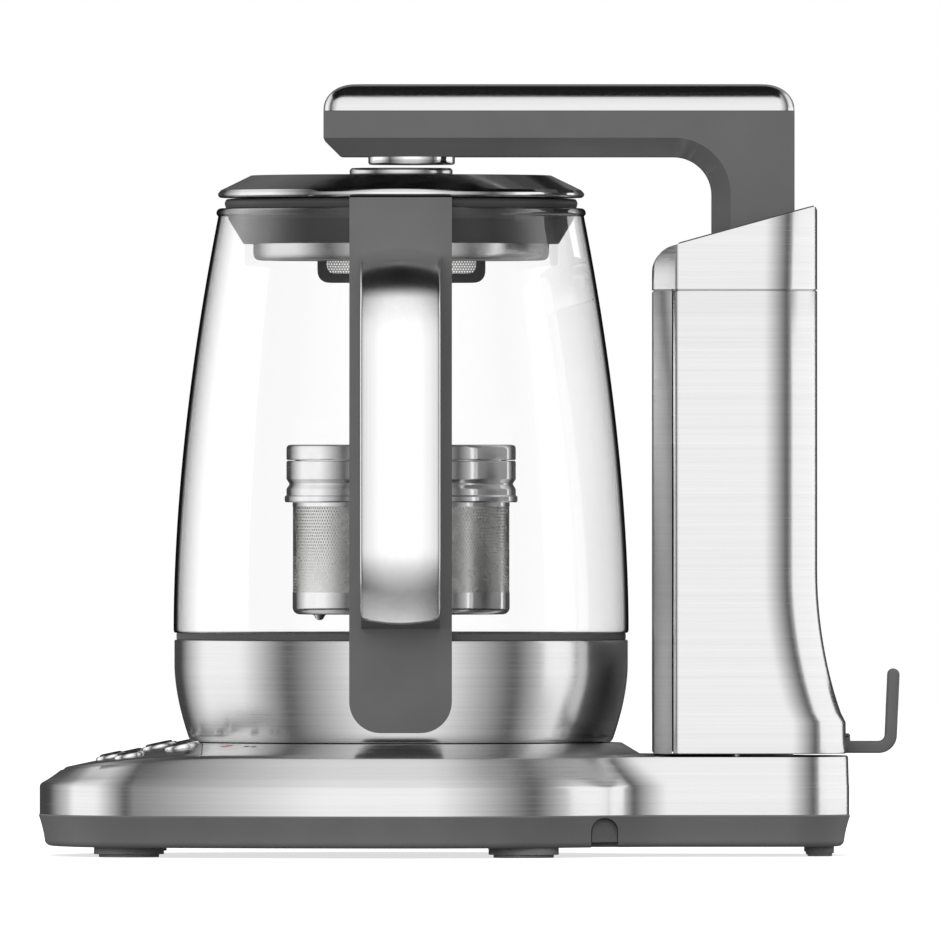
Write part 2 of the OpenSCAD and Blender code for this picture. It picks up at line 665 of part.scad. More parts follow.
// Rear face of the tower at height h above the deck.
function rear_x(h) =
    let (low = 11, t = max(0, min(1, (h - low) / (flare_h - low))))
    tower_rear + tower_flare * (1 - pow(sin(90 * t), 0.75));
corner_steps = 6;
// The tower's plan as a ring at height h above the deck, moved in by inset.
function tower_ring(h, inset) =
    let (c = tower_chamfer, w = tower_w / 2, k = inset * tan(22.5), r = tower_corner_r, x = rear_x(h),
         half = concat([[tower_front + inset, -w + c + k], [tower_front + c + k, -w + inset]],
             [for (i = [0 : corner_steps]) let (a = 270 + 90 * i / corner_steps)
                 [x - r + (r - inset) * cos(a), r - w + (r - inset) * sin(a)]]),
         m = len(half))
    concat([for (q = half) [q[0], q[1], z_deck + h]],
           [for (i = [m - 1 : -1 : 0]) [half[i][0], -half[i][1], z_deck + h]]);
tower_seat = 0.2;
seam_gap = 0.4;
tower_levels = [for (t = [0 : 0.14 : 0.99]) 11 + (flare_h - 11) * t];
tower_heights = concat([tower_seat], tower_levels, [flare_h, seam_h - seam_gap]);
module tower_sleeve() difference() {
    loft_tube(concat(
        [for (i = [len(tower_heights) - 1 : -1 : 0]) tower_ring(tower_heights[i], tower_wall)],
        [for (h = tower_heights) tower_ring(h, 0)]));
    // Where the cord hook is plugged in.
    translate([tower_rear, -hook_w / 2 - 0.1, z_deck + tower_seat - 1]) cube([20, hook_w + 0.2, hook_t + 4]);
}
panel_seam = tower_front + tower_chamfer - 1.4;
seam_slot = 0.4;
module tower_front_panel() color("silver") intersection() {
    tower_sleeve();
    translate([0, -tower_w, 0]) cube([panel_seam - seam_slot / 2, 2 * tower_w, 300]);
}
module tower_shell() color("silver") intersection() {
    tower_sleeve();
    translate([panel_seam + seam_slot / 2, -tower_w, 0]) cube([300, 2 * tower_w, 300]);
}

// The cap's plan and its silhouette along the arm: a sloped top with a rounded shoulder.
module cap_plan(inset) {
    ring = tower_ring(seam_h, inset);
    polygon([for (p = ring) [p[0], p[1]]]);
}
shoulder_r = 9;
slope_drop = (tower_rear - tower_front) * tan(cap_slope);
module cap_side(drop) difference() {
    translate([tower_front - 1, z_seam]) square([tower_rear - tower_front + 2, tower_h - seam_h - drop + 20]);
    // Everything above the slope.
    translate([tower_rear, z_tower_top - drop]) rotate(cap_slope) translate([-200, 0]) square([300, 60]);
    // The rounded shoulder at the front.
    difference() {
        translate([tower_front - 2, shoulder_z - drop]) square([shoulder_r + 2 - eps, 60]);
        translate([tower_front + shoulder_r, shoulder_z - drop]) circle(shoulder_r);
    }
}
shoulder_z = z_tower_top - slope_drop + shoulder_r * tan(cap_slope) - shoulder_r / cos(cap_slope);
module leg_hole(z, h, gap) translate([leg_rear - leg_t - gap, -arm_w / 2 - gap, z])
    cube([leg_t + 2 * gap, arm_w + 2 * gap, h]);
module tower_cap() color("silver") difference() {
    intersection() {
        translate([0, 0, z_seam]) linear_extrude(80) cap_plan(0);
        upright(tower_w + 2) cap_side(0);
    }
    intersection() {
        translate([0, 0, z_seam - 1]) linear_extrude(80) cap_plan(tower_wall);
        translate([0, 0, -eps]) upright(tower_w + 2) {
            cap_side(top_plate_t);
            translate([tower_front - 1, z_seam - 1]) square([tower_rear - tower_front + 2, 2]);
        }
    }
    // The top plate's seat.
    intersection() {
        translate([0, 0, z_seam]) linear_extrude(80) cap_plan(tower_wall * 0.7);
        upright(tower_w + 2) difference() {
            cap_side(-5);
            cap_side(top_plate_t * 0.6);
        }
        translate([tower_front + shoulder_r, -tower_w, 0]) cube([100, 2 * tower_w, 300]);
    }
    leg_hole(z_seam, 60, slide_gap + 1.6);
}
top_plate_t = 2.4;
module tower_top() color([0.13, 0.13, 0.13]) difference() {
    union() {
        intersection() {
            translate([0, 0, z_seam]) linear_extrude(80) cap_plan(tower_wall * 0.7 + 0.1);
            upright(tower_w + 2) difference() {
                cap_side(-0.5);
                cap_side(top_plate_t * 0.6);
            }
            translate([tower_front + shoulder_r + 0.1, -tower_w, 0]) cube([100, 2 * tower_w, 300]);
        }
        // The collar that guides the leg.
        intersection() {
            leg_hole(z_seam + 4, 60, slide_gap + 1.5);
            upright(tower_w) cap_side(-0.5);
        }
    }
    leg_hole(z_seam - 1, 80, slide_gap);
}

// ---------------------------------------------------------------- the lift

z_low_bracket = z_deck + 24;
z_motor_top = z_low_bracket - 16;
bracket_t = 8;
post_setback = 12.45;
z_high_bracket = z_seam - 10;
carriage_t = 12;
z_carriage = z_low_bracket + bracket_t + 17;
z_leg = z_carriage + carriage_t;
bracket_gap = 0.6;
bracket_w = tower_w - 2 * (tower_wall + bracket_gap);
post_w = 6;
// The rear posts' faces, clear of the connector at the foot and level with the screw.
post_x = [tower_front + post_setback, screw_x + 1];
guide_offset = bracket_w / 2 - post_w - guide_room;
shelf_t = 3;
bearing_r = 8;
bearing_h = 5;
// A level plate that fills the tower's inside.
module chassis_plate(z, t, front = 0) intersection() {
    translate([0, 0, z]) linear_extrude(t)
        polygon([for (p = tower_ring(flare_h, tower_wall + bracket_gap)) [p[0], p[1]]]);
    translate([front, -tower_w, 0]) cube([300, 2 * tower_w, 300]);
}
module lift_chassis() color([0.18, 0.18, 0.19]) difference() {
    union() {
        chassis_plate(z_motor_top, shelf_t, post_x[0]);
        chassis_plate(z_low_bracket, bracket_t);
        chassis_plate(z_high_bracket, bracket_t);
        for (s = [-1, 1]) translate([post_x[0], s * (bracket_w / 2 - post_w / 2) - post_w / 2, z_deck + 0.1])
            cube([post_x[1] - post_x[0], post_w, z_high_bracket - z_deck + 1]);
    }
    translate([screw_x, 0, z_low_bracket + bracket_t - bearing_h]) cylinder(r = bearing_r, h = 20);
    translate([screw_x, 0, 0]) cylinder(r = bearing_r - 1, h = z_low_bracket + bracket_t);
    leg_hole(z_high_bracket - 1, 20, slide_gap);
    for (s = [-1, 1]) translate([screw_x, s * guide_offset, z_low_bracket + 2]) cylinder(r = guide_r, h = 200);
    for (p = chassis_screws) translate([p[0], p[1], z_deck - 1]) cylinder(r = pilot_r, h = 9);
}
module guide_rods() color("silver") for (s = [-1, 1]) translate([screw_x, s * guide_offset, z_low_bracket + 2.1])
    cylinder(r = guide_r - 0.05, h = z_high_bracket + bracket_t - z_low_bracket - 3);

module screw_bearings() color("silver") translate([screw_x, 0, z_low_bracket + bracket_t - bearing_h])
    tube(bearing_r - 0.05, screw_r + run_gap, bearing_h - 0.2);

motor_r = 13.8;
motor_gap = 1.2;
z_motor = tray_floor + 0.6;
module lift_motor() color("slategray") translate([screw_x, 0, 0]) {
    translate([0, 0, z_motor]) cylinder(r = motor_r, h = z_motor_top - z_motor - 5);
    translate([0, 0, z_motor_top - 5]) cylinder(r = motor_r + 1, h = 4);
    translate([0, 0, z_motor_top - 2]) cylinder(r = 4.5, h = 2.6);
    translate([-7, -motor_r - 5, z_motor_top - 2]) cube([14, 2 * motor_r + 10, 2]);
}
screw_bottom = z_motor_top + 7;
screw_top = z_leg + lift_travel + 4;
module lead_screw() color("silver") translate([screw_x, 0, screw_bottom]) cylinder(r = screw_r, h = screw_top - screw_bottom);
module shaft_coupler() color("dimgray") translate([screw_x, 0, z_motor_top + motor_gap])
    difference() {
        cylinder(r = 6.2, h = 13);
        translate([0, 0, screw_bottom - z_motor_top - motor_gap - 0.1]) cylinder(r = screw_r + 0.02, h = 20);
    }

carriage_gap = 0.3;
carriage_w = 2 * (guide_offset + guide_r + 3);
nut_r = 7;
module lift_carriage() color([0.25, 0.25, 0.26]) difference() {
    translate([screw_x - 11, -carriage_w / 2, z_carriage]) cube([22, carriage_w, carriage_t - carriage_gap]);
    translate([screw_x, 0, z_carriage - 1]) cylinder(r = nut_r, h = 40);
    for (s = [-1, 1]) translate([screw_x, s * guide_offset, z_carriage - 1])
        cylinder(r = guide_r - 0.05 + run_gap, h = 40);
}
module lift_nut() color("goldenrod") translate([screw_x, 0, z_carriage]) difference() {
    union() {
        cylinder(r = nut_r - 0.05, h = carriage_t - carriage_gap - 0.2);
        translate([0, 0, -2]) cylinder(r = nut_r + 2.5, h = 2);
    }
    translate([0, 0, -5]) cylinder(r = screw_r + run_gap, h = 40);
}

// One switch stops the carriage at each end of its travel.
switch_size = [8, 3.4, 12];
module limit_switches() color("black")
    for (z = [z_carriage - switch_size[2] - 2.5, z_carriage + carriage_t + lift_travel + 2.5])
        translate([screw_x - switch_size[0] / 2, bracket_w / 2 - post_w - switch_size[1], z]) cube(switch_size);

module cord_hook() color([0.36, 0.36, 0.36]) {
    x0 = tower_rear + tower_flare;
    bend = 5.8;
    z0 = z_deck + tower_seat;
    upright(hook_w) difference() {
        union() {
            translate([x0 - 8, z0]) square([hook_reach + 8 - bend, hook_t]);
            translate([hook_x - bend, z0 + bend]) circle(bend);
            translate([hook_x - hook_t, z0 + bend]) square([hook_t, hook_h - bend - hook_t / 2]);
            translate([hook_x - hook_t / 2, z0 + hook_h - hook_t / 2]) circle(hook_t / 2);
            translate([x0 - 8, z0]) square([9.6, hook_t + 2.6]);
        }
        translate([hook_x - bend - 20, z0 + hook_t]) square([20 - eps, 1.7 - eps + bend - hook_t]);
        translate([hook_x - bend, z0 + bend]) circle(bend - hook_t);
        translate([x0 + 1.6, z0 + hook_t]) square([hook_reach - bend - 1.6, 20]);
        translate([hook_x - bend - 10, z0 + bend]) square([10 + bend - hook_t, 30]);
    }
    upright(hook_w) translate([x0 - 8, z0]) square([9.6, hook_t + 2.6]);
}

// ---------------------------------------------------------------- the arm

leg_front = leg_rear - leg_t;
tip_chamfer = 6;
tip_x = -arm_tip;
// The arm's side outline: a beam with a leg, and a rounded inner corner.
module arm_side() difference() {
    union() {
        translate([tip_x, z_beam]) square([leg_rear - tip_x, beam_h]);
        translate([leg_front, z_leg]) square([leg_t, z_cover - z_leg]);
        translate([leg_front - elbow_r, z_beam - elbow_r]) square([elbow_r + 1, elbow_r + 1]);
    }
    translate([leg_front - elbow_r, z_beam - elbow_r]) circle(elbow_r);
    polygon([[tip_x - 1, z_beam - 1], [tip_x - 1, z_beam + tip_chamfer + 1],
        [tip_x + tip_chamfer + 1, z_beam - 1]]);
}
// Cuts one lower edge of the arm at a slant, along the beam, round the elbow and down the leg.
chamfer_rise = arm_chamfer * 1.28;
module edge_cut() {
    y_edge = arm_w / 2;
    translate([tip_x - 5, 0, 0]) rotate([90, 0, 90]) linear_extrude(leg_front - elbow_r - tip_x + 5) polygon([
        [y_edge - arm_chamfer, z_beam], [y_edge + 1, z_beam + chamfer_rise * (1 + 1 / arm_chamfer)],
        [y_edge + 1, z_beam - 1], [y_edge - arm_chamfer, z_beam - 1]]);
    linear_extrude(z_beam - elbow_r) polygon([
        [leg_front, y_edge - arm_chamfer], [leg_front + chamfer_rise * (1 + 1 / arm_chamfer), y_edge + 1],
        [leg_front - 1, y_edge + 1], [leg_front - 1, y_edge - arm_chamfer]]);
    translate([leg_front - elbow_r, 0, z_beam - elbow_r]) rotate([-90, 0, 0]) intersection() {
        translate([0, 0, y_edge - arm_chamfer]) cylinder(r1 = elbow_r, r2 = elbow_r + chamfer_rise * (1 + 1 / arm_chamfer),
            h = arm_chamfer + 1);
        translate([0, -60, 0]) cube([60, 60, 60]);
    }
}
magnet_r = 10;
arm_screw_x = [40, 84];
module arm_body() color([0.38, 0.38, 0.38]) difference() {
    upright(arm_w) arm_side();
    edge_cut();
    mirror([0, 1, 0]) edge_cut();
    // The hollow beam, open at the top under its cover.
    translate([tip_x + arm_wall + 2, -arm_w / 2 + arm_wall, z_beam + 7.5])
        cube([leg_rear - tip_x - 2 * arm_wall - 2, arm_w - 2 * arm_wall, beam_h]);
    // The hollow leg round the lead screw.
    translate([leg_front + 7.4, -arm_w / 2 + 7, z_leg - 1]) cube([leg_t - 7.4 - arm_wall, arm_w - 14, z_cover - z_leg + 2]);
    translate([coupler_shift, 0, z_beam - 1]) cylinder(r = magnet_r + 0.2, h = 5);
    for (x = arm_screw_x) translate([x, 0, z_beam - 1]) {
        cylinder(r = shank_r + 0.2, h = 20);
        cylinder(r = 3.2, h = 3.4);
    }
}
cover_r = 10;
module cover_solid(inset) intersection() {
    upright(arm_w + 2) difference() {
        translate([tip_x + inset, z_cover - 1]) square([leg_rear - tip_x - 2 * inset, cover_h - inset + 1]);
        for (side = [0, 1]) cover_corner(side ? leg_rear - inset : tip_x + inset, side ? -1 : 1, cover_r + 1.3, z_arm_top - inset);
    }
    translate([arm_mid_x, 0, 0]) sideways(leg_rear - tip_x + 2) difference() {
        translate([-arm_w / 2 + inset, z_cover - 1]) square([arm_w - 2 * inset, cover_h - inset + 1]);
        for (side = [0, 1]) cover_corner((side ? 1 : -1) * (arm_w / 2 - inset), side ? -1 : 1, cover_r, z_arm_top - inset);
    }
    translate([0, 0, z_cover]) linear_extrude(cover_h + 1) translate([tip_x + inset, -arm_w / 2 + inset])
        soft_rect([leg_rear - tip_x - 2 * inset, arm_w - 2 * inset], 6 - inset);
}
arm_mid_x = (leg_rear + tip_x) / 2;
// The corner that is cut away where the cover's top rounds down to its side.
module cover_corner(x, dir, r, z) {
    rr = min(r, cover_h - 0.6);
    difference() {
        translate([dir > 0 ? x - 1 : x - rr, z - rr]) square([rr + 1, rr + 1]);
        translate([x + dir * rr, z - rr]) circle(rr);
    }
}
module arm_cover() color("gainsboro") difference() {
    union() {
        difference() {
            cover_solid(0);
            translate([0, 0, -eps]) cover_solid(1.2);
        }
        for (x = arm_screw_x) translate([x, 0, z_cover - 5]) cylinder(r = 3.4, h = cover_h + 4);
    }
    for (x = arm_screw_x) translate([x, 0, z_cover - 6]) cylinder(r = pilot_r, h = 9);
}
module arm_screws() color("silver") for (x = arm_screw_x) translate([x, 0, z_beam]) {
    translate([0, 0, 0.3]) cylinder(r = 2.8, h = 1.9);
    translate([0, 0, 1]) cylinder(r = pilot_r - 0.02, h = beam_h - 1);
}
module coupler_cup() color("gainsboro") translate([coupler_shift, 0, z_coupler]) difference() {
    union() {
        cylinder(r1 = coupler_r - 0.6, r2 = coupler_r, h = 0.6);
        translate([0, 0, 0.6]) cylinder(r = coupler_r, h = coupler_h - 0.6);
    }
    translate([0, 0, 0.8]) cylinder(r = magnet_r + 0.2, h = 10);
}
module coupler_magnet() color([0.3, 0.3, 0.32]) translate([coupler_shift, 0, z_coupler + 0.9])
    cylinder(r = magnet_r, h = coupler_h + 2.6);

// ---------------------------------------------------------------- the kettle

glass_steps = 18;
straight_glass = 2;
// Outside radius of the glass at height z.
function glass_at(z) =
    glass_r - (glass_r - mouth_r) * pow(max(0, z - z_glass - straight_glass) / (glass_h - straight_glass), glass_bow);
glass_levels = [for (i = [0 : glass_steps]) z_glass + straight_glass + (glass_h - straight_glass) * i / glass_steps];
function glass_profile(inset, top) = concat(
    [[0, z_glass - (inset > 0 ? 1 : 0)], [glass_r - 0.6 - inset, z_glass - (inset > 0 ? 1 : 0)]],
    [for (z = glass_levels) [glass_at(z) - inset, z]],
    [[mouth_r - inset, z_mouth + top], [0, z_mouth + top]]);
lip_drop = 32;
lip_foot_r = 6;
module lip_cone(inset, top) translate([0, lip_y, z_mouth - lip_drop])
    cylinder(r1 = lip_foot_r - inset, r2 = lip_r - inset + (lip_r - lip_foot_r) * top / lip_drop, h = lip_drop + top);
bead_r = 1.2;
module glass_jug() color([0.85, 0.92, 0.95, 0.35]) difference() {
    union() {
        rotate_extrude() polygon(glass_profile(0, 0));
        lip_cone(0, 0);
        translate([0, 0, z_mouth - bead_r]) rotate_extrude() translate([mouth_r - bead_r + 0.5, 0]) circle(bead_r, $fn = 20);
    }
    difference() {
        rotate_extrude() polygon(glass_profile(glass_wall, 1));
        difference() {
            translate([0, 0, z_mouth - 3]) cylinder(r = 90, h = 3);
            translate([0, 0, z_mouth - 4]) cylinder(r = mouth_r - glass_wall - 0.2, h = 6);
        }
    }
    lip_cone(glass_wall, 1);
}

rim_r = mouth_r - glass_wall;
funnel_r = cup_r + 3.4;
funnel_wall = 1.7;
z_funnel = z_mouth - 12.2;
filter_half = 29;
filter_gap = 0.3;
module rim_ring() color([0.3, 0.3, 0.3]) difference() {
    rotate_extrude() polygon([
        [rim_r - 3.8, z_rim], [rim_r - 0.7, z_rim], [rim_r, z_rim - 0.7], [rim_r, z_mouth + 0.6],
        [rim_r - 0.5, z_mouth], [rim_r - 1.2, z_mouth], [rim_r - 1.4, z_mouth - 3.8],
        [funnel_r, z_funnel], [funnel_r - funnel_wall, z_funnel], [rim_r - 3.7, z_mouth - 4.8]]);
    translate([-filter_half - filter_gap, 20, z_funnel - 1])
        cube([2 * (filter_half + filter_gap), 50, z_mouth - 3.4 - z_funnel + 1]);
}

// The strap follows the glass from the dark ring down over the steel foot ring.
strap_gap = 0.3;
z_strap = z_kettle + 3.6;
strap_corner = 10.7;
strap_steps = 16;
function strap_y(z) = -(z < z_glass ? glass_r : glass_at(z));
strap_levels = [for (i = [0 : strap_steps]) z_strap + (z_rim - z_strap) * i / strap_steps];
grip_top = z_mouth - grip_drop;
grip_bottom = z_strap + grip_rise;
grip_bend_top = 30;
grip_bend_bottom = 34;
grip_steps = 9;
bend_power = 2.3;
// Where the grip's line starts and ends, on the strap.
root_top = strap_y(grip_top);
root_bottom = -glass_r;
// The grip's outer line, from its lower end to its upper end, moved in by inset.
function grip_line(inset) = concat(
    [for (i = [0 : grip_steps]) let (t = 1 - i / grip_steps)
        [root_bottom - (grip_y + root_bottom - inset) * pow(max(0, cos(90 * t)), 2 / bend_power),
         grip_bottom + inset + (grip_bend_bottom - inset) * (1 - pow(sin(90 * t), 2 / bend_power))]],
    [for (i = [0 : grip_steps]) let (t = i / grip_steps)
        [root_top - (grip_y + root_top - inset) * pow(max(0, cos(90 * t)), 2 / bend_power),
         grip_top - inset - (grip_bend_top - inset) * (1 - pow(sin(90 * t), 2 / bend_power))]]);
module grip_blade(w, outer, inner) sideways(w) difference() {
    polygon(concat([[root_bottom + 3, grip_bottom + outer]], grip_line(outer), [[root_top + 3, grip_top - outer]]));
    polygon(concat([[root_bottom + 4, grip_bottom + inner]], grip_line(inner), [[root_top + 4, grip_top - inner]]));
}
// The kettle's own outside, grown by gap, which nothing on the handle cuts into.
module kettle_outside(gap) {
    translate([0, 0, gap]) rotate_extrude() polygon(glass_profile(-gap, 0));
    rotate_extrude() polygon(shell_profile(-gap, 0.5));
    translate([0, 0, z_shell_top - 1]) cylinder(r = shell_r + gap, h = gasket_h + 2);
}
// The screw goes in from inside the steel foot ring and ends short of the strap's outer face.
screw_head_r = 3.2;
z_strap_screw = z_kettle + 16;
strap_skin = 0.9;
module on_strap(depth) translate([0, -glass_r - strap_t + depth, z_strap_screw]) rotate([-90, 0, 0]) children();
module handle_strap() color([0.37, 0.37, 0.37]) difference() {
    union() {
        intersection() {
            sideways(strap_w) polygon(concat(
                [for (z = strap_levels) [strap_y(z) - strap_t, z]],
                [[-rim_r + 6, z_rim], [-rim_r + 6, z_strap]]));
            upright(400) translate([-strap_w / 2, z_strap]) {
                soft_rect([strap_w, 60], strap_corner);
                translate([0, 30]) square([strap_w, z_rim - z_strap - 30]);
            }
        }
        grip_blade(grip_w - 0.4, face_t + 0.05, grip_t);
    }
    kettle_outside(strap_gap);
    translate([0, 0, z_mouth - 5]) cylinder(r = mouth_r + 0.6 + strap_gap, h = 5 + 0.2);
    translate([0, 0, z_mouth]) cylinder(r = rim_r + 0.05, h = rim_h + 1);
    on_strap(strap_skin) cylinder(r = pilot_r, h = 20);
}
module grip_face() color("silver") difference() {
    grip_blade(grip_w, 0, face_t);
    kettle_outside(strap_t + 0.3);
    // The strap's outer face, where the blade would enter it.
    sideways(grip_w + 2) polygon(concat([for (z = strap_levels) [strap_y(z) - strap_t - 0.05, z]], [[0, z_rim], [0, z_strap]]));
}
module handle_screws() color("silver") {
    near = min(shell_at(z_strap_screw - screw_head_r), shell_at(z_strap_screw + screw_head_r));
    inner = strap_t + glass_r - near + shell_wall + 0.2;
    on_strap(strap_skin + 0.1) cylinder(r = pilot_r - 0.02, h = inner - strap_skin);
    on_strap(inner) cylinder(r = screw_head_r, h = 1.8);
}

// The filter hangs behind the mouth, in front of the pouring lip.
filter_r = funnel_r - funnel_wall - 0.1;
filter_t = 2.5;
filter_bar = 3.2;
z_filter = z_mouth - 25.3;
z_filter_top = z_mouth - 3.6;
module filter_plan(inset, r) upright(200) translate([-filter_half + inset, z_filter + inset])
    soft_rect([2 * (filter_half - inset), z_filter_top - z_filter - 2 * inset], r);
module filter_shell(r_in, r_out) intersection() {
    translate([0, 0, z_filter - 1]) tube(r_out, r_in, 40);
    translate([-60, 20, z_filter - 1]) cube([120, 60, 60]);
}
module spout_filter_frame() color([0.25, 0.25, 0.25]) difference() {
    intersection() {
        filter_shell(filter_r, filter_r + filter_t);
        filter_plan(0, 4.5);
    }
    filter_plan(filter_bar, 3);
}
module spout_filter_mesh() color("silver") intersection() {
    filter_shell(filter_r + 1, filter_r + 1.4);
    filter_plan(filter_bar + 0.02, 3);
}

gasket_w = 7;
gasket_hole_r = shell_r - 0.7 - gasket_w;
module glass_gasket() color([0.3, 0.3, 0.3]) difference() {
    translate([0, 0, z_shell_top]) cylinder(r = gasket_hole_r + gasket_w, h = gasket_h);
    translate([0, 0, z_shell_top - 1]) cylinder(r = gasket_hole_r, h = gasket_h + 2);
}
shell_wall = 1.2;
shell_steps = 8;
shell_straight = 8.6;
shell_bow = 1.75;
function shell_at(z) = shell_r - (shell_r - shell_foot_r)
    * pow(max(0, z_shell_top - shell_straight - z) / (shell_h - shell_straight), shell_bow);
function shell_profile(inset, end) = concat([[0, z_kettle - end]],
    [for (i = [0 : shell_steps]) let (z = z_kettle + (shell_h - shell_straight) * i / shell_steps)
        [shell_at(z) - inset, z - (i == 0 ? end : 0)]],
    [[shell_r - inset, z_shell_top + end], [0, z_shell_top + end]]);
module kettle_shell() color("silver") difference() {
    rotate_extrude() polygon(shell_profile(0, 0));
    rotate_extrude() polygon(shell_profile(shell_wall, 1));
    on_strap(0) cylinder(r = shank_r, h = 12);
}
module heater_plate() color("silver") translate([0, 0, z_shell_top - 1.6]) {
    cylinder(r = shell_r - shell_wall - 0.1, h = 1.6);
    translate([0, 0, 1.5]) cylinder(r = gasket_hole_r - 0.2, h = z_plate - z_shell_top + 0.1);
}
element_r = 3.4;
element_ring_r = 50;
module heating_element() color([0.35, 0.33, 0.32]) {
    translate([0, 0, z_shell_top - 1.7 - element_r]) rotate_extrude(angle = 300) translate([element_ring_r, 0]) circle(element_r, $fn = fine_fn);
    for (a = [0, 300]) rotate(a) translate([element_ring_r, 0, z_shell_top - 16]) cylinder(r = 2.6, h = 11, $fn = fine_fn);
}
socket_r = connector_r + 0.8;
socket_deep = connector_rise + 1.5;
under_t = 2;
module kettle_underside() color([0.2, 0.2, 0.2]) translate([0, 0, z_kettle + 0.4]) difference() {
    union() {
        cylinder(r = shell_foot_r - shell_wall - 0.3, h = under_t);
        cylinder(r = socket_r + 4.4, h = 5);
    }
    translate([0, 0, -1]) cylinder(r = socket_r + 2.2, h = 10);
}
module kettle_connector() color([0.15, 0.15, 0.15]) translate([0, 0, z_kettle + 0.4]) difference() {
    union() {
        cylinder(r = socket_r + 2.1, h = socket_deep + 2);
        translate([0, 0, 5.1]) cylinder(r = socket_r + 6, h = 2);
    }
    difference() {
        translate([0, 0, -1]) cylinder(r = socket_r, h = socket_deep + 1);
        cylinder(r = 2.4, h = socket_deep + 2);
    }
}

// ---------------------------------------------------------------- the lid

lid_edge = 1.1;
module lid_cover() color([0.75, 0.75, 0.76]) rotate_extrude() polygon([
    [rod_r + 1, z_lid_top], [lid_flat_r, z_lid_top], [lid_r - 1, z_lid + lid_edge * 2.4], [lid_r, z_lid + lid_edge * 1.4],
    [lid_r, z_lid + lid_edge * 0.6], [lid_r - 0.8, z_lid], [lid_r - 2, z_lid], [lid_r - 2, z_lid + lid_edge * 2.4 - lid_wall],
    [lid_flat_r - 0.6, z_lid_top - lid_wall], [rod_r + 1, z_lid_top - lid_wall]]);
z_plug = z_rim - 14.5;
plug_wall = 2;
module lid_plug() color([0.27, 0.27, 0.27]) difference() {
    rotate_extrude() polygon([
        [0, z_lid_top - lid_wall], [lid_flat_r - 1, z_lid_top - lid_wall], [lid_r - 2.4, z_lid + lid_edge * 2.3 - lid_wall],
        [lid_r - 2.4, z_lid], [cup_r - 0.6, z_lid], [cup_r - 0.6, z_plug], [cup_r - 0.6 - plug_wall, z_plug],
        [cup_r - 0.6 - plug_wall, z_lid - 1], [7, z_lid - 1], [7, z_plug], [0, z_plug]]);
    translate([0, 0, z_plug - 1]) cylinder(r = rod_r + run_gap, h = 40);
}
module lid_cup() color("silver") difference() {
    rotate_extrude() polygon([
        [rod_r + 1, z_rim - cup_drop], [cup_r - 1.6, z_rim - cup_drop], [cup_r - 0.4, z_rim - cup_drop + 0.5],
        [cup_r, z_rim - cup_drop + 1.6], [cup_r, z_plug], [cup_r - 0.8, z_plug], [cup_r - 0.8, z_rim - cup_drop + 1.8],
        [cup_r - 1.8, z_rim - cup_drop + 0.8], [rod_r + 1, z_rim - cup_drop + 0.8]]);
}
seal_reach = filter_r - 0.3;
module lid_seal() color([0.6, 0.6, 0.6]) rotate_extrude() polygon([
    [cup_r - 0.6, z_plug + 2], [seal_reach, z_plug + 4.4], [seal_reach, z_plug + 5.2], [cup_r - 0.6, z_plug + 6.2]]);

// ---------------------------------------------------------------- the rod and the tea basket

module rod_head() color("silver") translate([0, 0, z_head]) difference() {
    union() {
        cylinder(r = head_r, h = head_h - 0.7);
        translate([0, 0, head_h - 0.7]) cylinder(r1 = head_r, r2 = head_r - 0.7, h = 0.7);
    }
    translate([0, 0, -1]) cylinder(r = rod_r - 0.5, h = head_h);
}
module lift_rod() color("silver") {
    translate([0, 0, z_cap_top - 3]) cylinder(r = rod_r, h = z_head - z_cap_top + 3 - 0.02);
    translate([0, 0, z_head - 0.5]) cylinder(r = rod_r - 0.5, h = head_h - 0.6);
}
spigot_gap = 0.3;
module basket_cap() color("silver") difference() {
    union() {
        translate([0, 0, z_cap + 0.2]) cylinder(r = collar_r, h = cap_h - 0.2 - 0.8);
        translate([0, 0, z_cap_top - 0.8]) cylinder(r1 = collar_r, r2 = collar_r - 0.8, h = 0.8);
        translate([0, 0, z_cap - 3.4]) cylinder(r = basket_r - basket_wall - spigot_gap, h = 4);
    }
    translate([0, 0, z_cap - 4]) cylinder(r = basket_r - basket_wall - spigot_gap - 1, h = cap_h + 4 - 1.2);
    translate([0, 0, z_cap_top - 20]) cylinder(r = rod_r, h = 40);
}
groove = 1.1;
flange_h = 2.2;
flange_out = 0.6;
module basket_collar() color("silver") rotate_extrude() {
    z_groove = z_collar + collar_h * 0.44;
    polygon([
        [basket_r - basket_wall, z_collar], [collar_r + flange_out - 0.4, z_collar], [collar_r + flange_out, z_collar + 0.4],
        [collar_r + flange_out, z_collar + flange_h - 0.3], [collar_r, z_collar + flange_h],
        [collar_r, z_groove - groove * 1.4], [collar_r - groove, z_groove], [collar_r, z_groove + groove * 1.4],
        [collar_r, z_cap], [basket_r - basket_wall, z_cap]]);
}
basket_round = 2;
stud_x = -28;
module basket_body() color("silver") {
    rotate_extrude() polygon([
        [0, z_basket], [basket_r - basket_round, z_basket], [basket_r - basket_round * 0.3, z_basket + basket_round * 0.3],
        [basket_r, z_basket + basket_round], [basket_r, z_collar], [basket_r - basket_wall, z_collar],
        [basket_r - basket_wall, z_basket + basket_round], [basket_r - basket_round - 0.2, z_basket + basket_wall],
        [0, z_basket + basket_wall]]);
    translate([stud_x, 0, z_basket - 2]) cylinder(r1 = 1, r2 = 1.9, h = 2, $fn = fine_fn);
}

